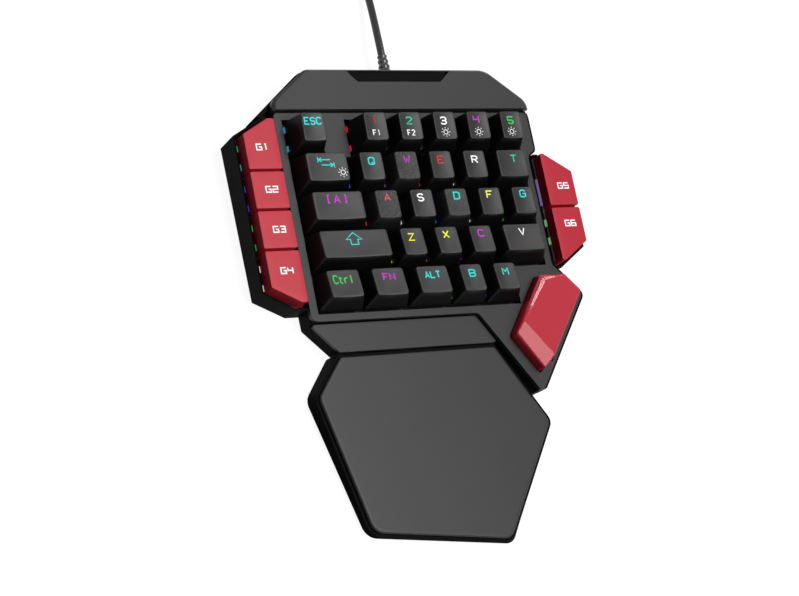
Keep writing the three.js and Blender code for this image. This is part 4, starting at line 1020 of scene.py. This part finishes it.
# %% Palm panel
palm_outline = np.array([[0.437, -6.075], [-0.319, -7.037], [0.5, -10.407], [4.252, -10.916],
                         [6.02, -8.085], [4.819, -6.066]]) * pitch
palm_rear_drop, palm_front_drop = 3.0, 5.2
palm_fall = (palm_front_drop - palm_rear_drop) / (palm_outline[0, 1] - palm_outline[3, 1])


def palm_level(y):
    """Height of the palm panel: three millimetres down at the rear edge, falling forwards."""
    return -palm_rear_drop + (y - palm_outline[0, 1]) * palm_fall


palm_edge, palm_thickness, edge_rows = 0.7, 2.0, 7
palm_corner = np.array([1.2, 5.0, 7.0, 6.0, 4.5, 1.5])
palm_profile = profile([(0, -palm_thickness)], palm_edge, 0, edge_rows,
                       [(0, shrink) for shrink in np.linspace(0.98, 0.1, 8)])
palm_rows = shelled(palm_outline, palm_corner, *palm_profile, 20)
palm_rows[..., 2] += palm_level(palm_rows[..., 1])
add_piece("palm_cover", [skin(palm_rows)], shell_abs,
          replaces=["palm_panel"])

# %% [markdown]
# The base under it has a rim that stands out from the panel by a different width on each side,
# and flares a little towards the table. Two tongues at the rear reach into the case.


# %% Palm base
def table_level(height, y):
    """Height in the deck's frame of a level above the table, which the lean makes depend on y."""
    rise = height - field_origin[2] - y * math.sin(deck_tilt)
    return rise / math.cos(deck_tilt)


bridge_front, bridge_gap, palm_gap = -113.6, 0.2, 0.3
palm_reach = bridge_front + bridge_gap - palm_gap - palm_outline[0, 1]
rims = np.array([1.7, 1.6, 1.4, 2.1, 2.6, palm_reach])
flares = np.array([3.2, 2.8, 1.8, 2.8, 2.8, palm_reach])
base_corner = np.array([2.5, 7.0, 7.5, 6.0, 5.0, 2.0])
brim_edge = 0.5
over, up = shoulder(edge_rows)
brim_steps = brim_edge * over[:, None]
base_steps = np.concatenate([[-flares + 1.0, -flares + 0.3, -flares], -rims + brim_steps,
                             [3.0 - 0 * rims]])
base_rows = shelled(palm_outline, base_corner, base_steps, np.zeros(11), np.ones(11), 8)
under_panel = palm_level(base_rows[..., 1]) - palm_thickness - palm_gap
base_clearance, base_rise = 1.2, np.array([[0], [0.3], [1.0]])
base_rows[:3, :, 2] = table_level(base_clearance, base_rows[:3, :, 1]) + base_rise
base_rows[3:10, :, 2] = under_panel[3:10] - brim_edge + brim_edge * up[:, None]
base_rows[10, :, 2] = under_panel[10]
tongue_front, tongue_rear, tongue_half = palm_outline[0, 1] - 2, bridge_front + 5, 9
tongue_level, tongue_thickness = table_level(4.5, bridge_front), 2.4
tongues = [
    bar(middle, (tongue_front + tongue_rear) / 2, tongue_half, (tongue_rear - tongue_front) / 2,
        tongue_level, tongue_level + tongue_thickness)
    for middle in (30.9, 69.2)
]
add_piece("palm_tray", [skin(base_rows), *tongues], case_abs,
          replaces=["palm_base"])

# %% Plate over the outlet
insert_front, insert_rear = hood_rear - 6.4, hood_rear - 1.3
insert_outline = np.array([[-23, insert_front], [23, insert_front], [28, insert_rear],
                           [-28, insert_rear]]) + [middle_x, 0]
insert_top, insert_bottom, insert_edge = 1.7, 0.6, 0.4
insert_profile = profile([(0, insert_bottom)], insert_edge, insert_top, edge_rows,
                         [(0.1, 0.95), (0.3, 0.85), (0.45, 0.7), (0.5, 0.3)])
insert_rows = shelled(insert_outline, 1.0, *insert_profile, 8)
add_piece("outlet_plate", [skin(insert_rows)], case_abs,
          replaces=["hood_insert"])

# %% [markdown]
# ## Moulded shells
#
# The large shells keep their imported shape. A copy of each has its split corners merged and its
# flat triangles joined, and a bevel then rounds every hard edge by a few tenths of a millimetre,
# because a moulded edge always catches a thin line of light. A few upright corners are rounder,
# and the deck and the hood carry a thin near-black band of painted shade along their right and
# rear edges.


# %% Corners and edges that are cut back
def in_deck(co):
    """Table metres to deck millimetres: the inverse of the move to the table."""
    return (np.array(co) * 1000 - field_origin) @ lean


steep_mm, lean_limit, corner_reach = 0.5, 1.2, 2.5


def at_corner(edge, corners):
    """Radius of the round corner that a steep edge belongs to, or 0."""
    low, high = (in_deck(vert.co) for vert in edge.verts)
    run = np.abs(high - low)
    if run[2] < steep_mm or run[:2].max() > lean_limit * run[2]:
        return 0
    near = [radius for x, y, radius in corners
            if max(np.hypot(*(end[:2] - [x, y])) for end in (low, high)) < corner_reach]
    return near[0] if near else 0


def round_corners(work, corners):
    """Bevels the steep edges at each corner, given as x, y and radius in deck millimetres."""
    for wanted in sorted({radius for _, _, radius in corners}):
        edges = [edge for edge in work.edges
                 if edge.is_manifold and at_corner(edge, corners) == wanted
                 and edge.calc_face_angle_signed(0) > math.radians(25)]
        bmesh.ops.bevel(work, geom=edges, offset=wanted / 1000, segments=6, profile=0.5,
                        affect="EDGES", clamp_overlap=True)


def paint_shade_band(work, width_mm):
    """Gives the second material, a near-black band of painted shade, to a band of one width along the
    upper outer edges that face right or to the rear. An edge is outer if no other edge of the top
    lies further right beside it."""
    flat, steep, to_right, to_rear = 0.93, 0.6, 0.15, 0.3
    rim = []
    for edge in work.edges:
        if len(edge.link_faces) != 2:
            continue
        tops = [lean.T @ face.normal for face in edge.link_faces]
        top, wall = sorted(tops, key=lambda normal: -normal[2])
        if top[2] > flat and wall[2] < steep and (wall[0] > to_right or wall[1] > to_rear):
            rim.append(edge)
    ends = np.array([[in_deck(vert.co)[:2] for vert in edge.verts] for edge in rim])
    middle = ends.mean(1)
    low, high = ends[..., 1].min(1), ends[..., 1].max(1)
    beside = (low[None] < middle[:, 1, None]) & (high[None] > middle[:, 1, None])
    further = beside & (middle[None, :, 0] > middle[:, 0, None] + 1)
    outer = [edge for edge, hidden in zip(rim, further.any(1)) if not hidden]
    band = bmesh.ops.bevel(work, geom=outer, offset=width_mm / 1000, segments=2, profile=1,
                           affect="EDGES", clamp_overlap=False)["faces"]
    for face in band:
        face.material_index = 1


# %% Shells with rounded edges
merge_metres, flat_degrees, hard_degrees = 2e-6, 0.6, 35


def softened(name, finish, slot, width_mm, corners=(), rim=0):
    """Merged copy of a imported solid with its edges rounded, and some of its upright corners too."""
    mesh = bpy.data.meshes.new(name + "_moulding")
    work = bmesh.new()
    work.from_mesh(nodes[name].data)
    bmesh.ops.remove_doubles(work, verts=work.verts, dist=merge_metres)
    bmesh.ops.dissolve_limit(work, angle_limit=math.radians(flat_degrees), verts=work.verts,
                             edges=work.edges)
    round_corners(work, corners)
    if rim:
        paint_shade_band(work, rim)
    work.to_mesh(mesh)
    work.free()
    shaded(mesh, hard_degrees, [finish, shade_band_abs])
    piece = new_object(name + "_moulding", mesh)
    bevel = piece.modifiers.new("moulded edge", "BEVEL")
    bevel.width = width_mm / 1000
    bevel.segments = 3
    bevel.limit_method = "ANGLE"
    bevel.angle_limit = math.radians(hard_degrees)
    bevel.use_clamp_overlap = True
    piece.modifiers.new("flat faces stay flat", "WEIGHTED_NORMAL")
    return declared(piece, nodes[name]["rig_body"], [name])


hood_corners = [(-4.4, 9.2, 2.0), (16.2, 26.0, 2.0), (117.4, 26.0, 3.5), (138.0, 9.2, 3.0)]
case_corners = [(15.2, 25.8, 3.0), (-3.9, -99.6, 4.0)]
for shell in [
    ("key_deck", shell_abs, "dark_shell", 0.3, [], 0.95),
    ("rear_hood", shell_abs, "dark_shell", 0.3, hood_corners, 0.5),
    ("bridge_panel", shell_abs, "dark_shell", 0.3),
    ("bottom_case", case_abs, "black_case", 0.35, case_corners),
    ("plug_body", tpe, "rubber", 0.6),
]:
    softened(*shell)

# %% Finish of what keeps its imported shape
kept = {
    nylon: ["switch_plate"], laminate: ["main_board", "left_wing_board", "right_wing_board"],
    # The light guides take the darkened acrylic, whose tone is painted shade.
    acrylic: ["left_light_guide", "right_light_guide"], nickel: ["plug_shell"],
    zinc: ["hood_screw_left", "hood_screw_right", "bridge_screw"],
    silicone: ["foot_rear_left", "foot_rear_right", "foot_palm_left", "foot_palm_right"],
}
for finish, names in kept.items():
    for name in names:
        nodes[name].data.materials[0] = finish

# %% [markdown]
# ## Light leaking between the keys
#
# Left of most caps two slits of light show a lamp colour, and more of them line the wings. They
# are thin clear strips between the pieces, those beside the caps standing on the switch plate.

# %% Light strips
key_lamps = {
    "esc": "sky", "1": "red", "2": "teal", "3": "white", "4": "purple", "5": "green",
    "q": "blue", "w": "purple", "e": "red", "r": "white", "a": "red", "s": "white", "d": "blue",
    "f": "white", "g": "green", "z": "yellow", "x": "orange", "c": "magenta", "b": "green",
    "m": "blue",
}
slit_corner = 0.1
strips = {colour: [] for colour in [*key_lamps.values(), "lilac", "pale"]}
for name, colour in key_lamps.items():
    _, width, x, y = cells[name]
    half = 1.4 if name in ("esc", "1") else 1.0
    for across in (-pitch / 4, pitch / 4):
        strips[colour].append(
            bar(x - width * pitch / 2, y + across, 0.2, half, -5.4, 0.8, slit_corner))
for y, colour in [(-13.1, "teal"), (-22.4, "teal"), (-33.2, "blue"), (-42.6, "blue"),
                  (-52.4, "green"), (-61.6, "green"), (-72.2, "white"), (-81.4, "white")]:
    strips[colour].append(bar(-25.175, y, 0.175, 1.5, -6.2, -1.6, slit_corner))
for y, half, colour in [(-39, 7, "lilac"), (-55.1, 1.8, "pale"), (-64.5, 1.8, "pale")]:
    strips[colour].append(bar(134.85, y, 0.35, half, -3.2, -0.2, slit_corner))
for colour, bars in strips.items():
    leak = lit("extruded acrylic lit " + colour, lamp_codes[colour], strip_glow)
    add_piece("light_strips_" + colour, bars, leak)

# %% [markdown]
# ## Studio
#
# The picture is a product shot on pure white: the camera sees the world and the table as white,
# while the object is lit by one large softbox overhead. Its right edge stands where the left half
# of the object mirrors it and the right half no longer does, so the flat tops darken from left to
# right. Two narrow strips further back stand where the two inner facets of the thumb bar's shoulder
# mirror them, and draw the bent white line there. The black sides stay dark because nothing bright
# stands on the left.


# %% Lights
def softbox(name, place, size, power, turn):
    """Rectangular area light that hangs level and faces straight down, turned about the upright
    axis, in metres, watts and degrees."""
    lamp = bpy.data.lights.new(name, "AREA")
    lamp.shape = "RECTANGLE"
    lamp.size, lamp.size_y = size
    lamp.energy = power
    holder = new_object(name, lamp)
    holder.location = place
    holder.rotation_euler.z = math.radians(turn)


softbox("overhead_softbox", (0.38, -0.25, 1.4), (0.72, 1.3), 22.6, 15)
softbox("left_edge_strip", (0.53, 0.645, 1.36), (0.34, 0.08), 2.0, -31.6)
softbox("rear_edge_strip", (1.02, 1.0, 1.36), (0.42, 0.1), 2.4, 77)


# %% World
def looked_at(owner):
    """1 where the camera looks, straight or through or off a smooth surface, and 0 for light."""
    path = add_node(owner, "LightPath").outputs
    direct = calculated(owner, "MAXIMUM", path["Is Camera Ray"], path["Is Transmission Ray"])
    return calculated(owner, "MAXIMUM", direct, path["Is Glossy Ray"])


world = bpy.data.worlds.new("studio")
scene.world = world
world.use_nodes = True
world.node_tree.nodes.clear()
ambient_level, white_level, paper_level = 0.04, 1, 0.93
ambient, white = (
    add_node(world, "Background", {"Color": (1, 1, 1, 1), "Strength": level}).outputs[0]
    for level in (ambient_level, white_level))
shader_out(world, None, {0: looked_at(world), 1: ambient, 2: white}, "MixShader", "OutputWorld")

# %% Table
half = 2.5
floor_mesh = bpy.data.meshes.new("table")
floor_mesh.from_pydata([(-half, -half, 0), (half, -half, 0), (half, half, 0), (-half, half, 0)],
                       [], [(0, 1, 2, 3)])
floor = new_object("table", floor_mesh)
paper = new_material("white seamless paper")
tone = blend(paper, "#686868", "#727272", noise(paper, 500, 4))
sheet = add_node(paper, "BsdfDiffuse", None, {"Color": tone}).outputs[0]
glow = add_node(paper, "Emission", {"Strength": paper_level}).outputs[0]
masked = add_node(paper, "MixShader", None, {0: looked_at(paper), 2: glow}).outputs[0]
shader_out(paper, None, {0: sheet, 1: masked}, "AddShader")
floor_mesh.materials.append(paper)

# %% Settings
scene.view_settings.view_transform = "Standard"
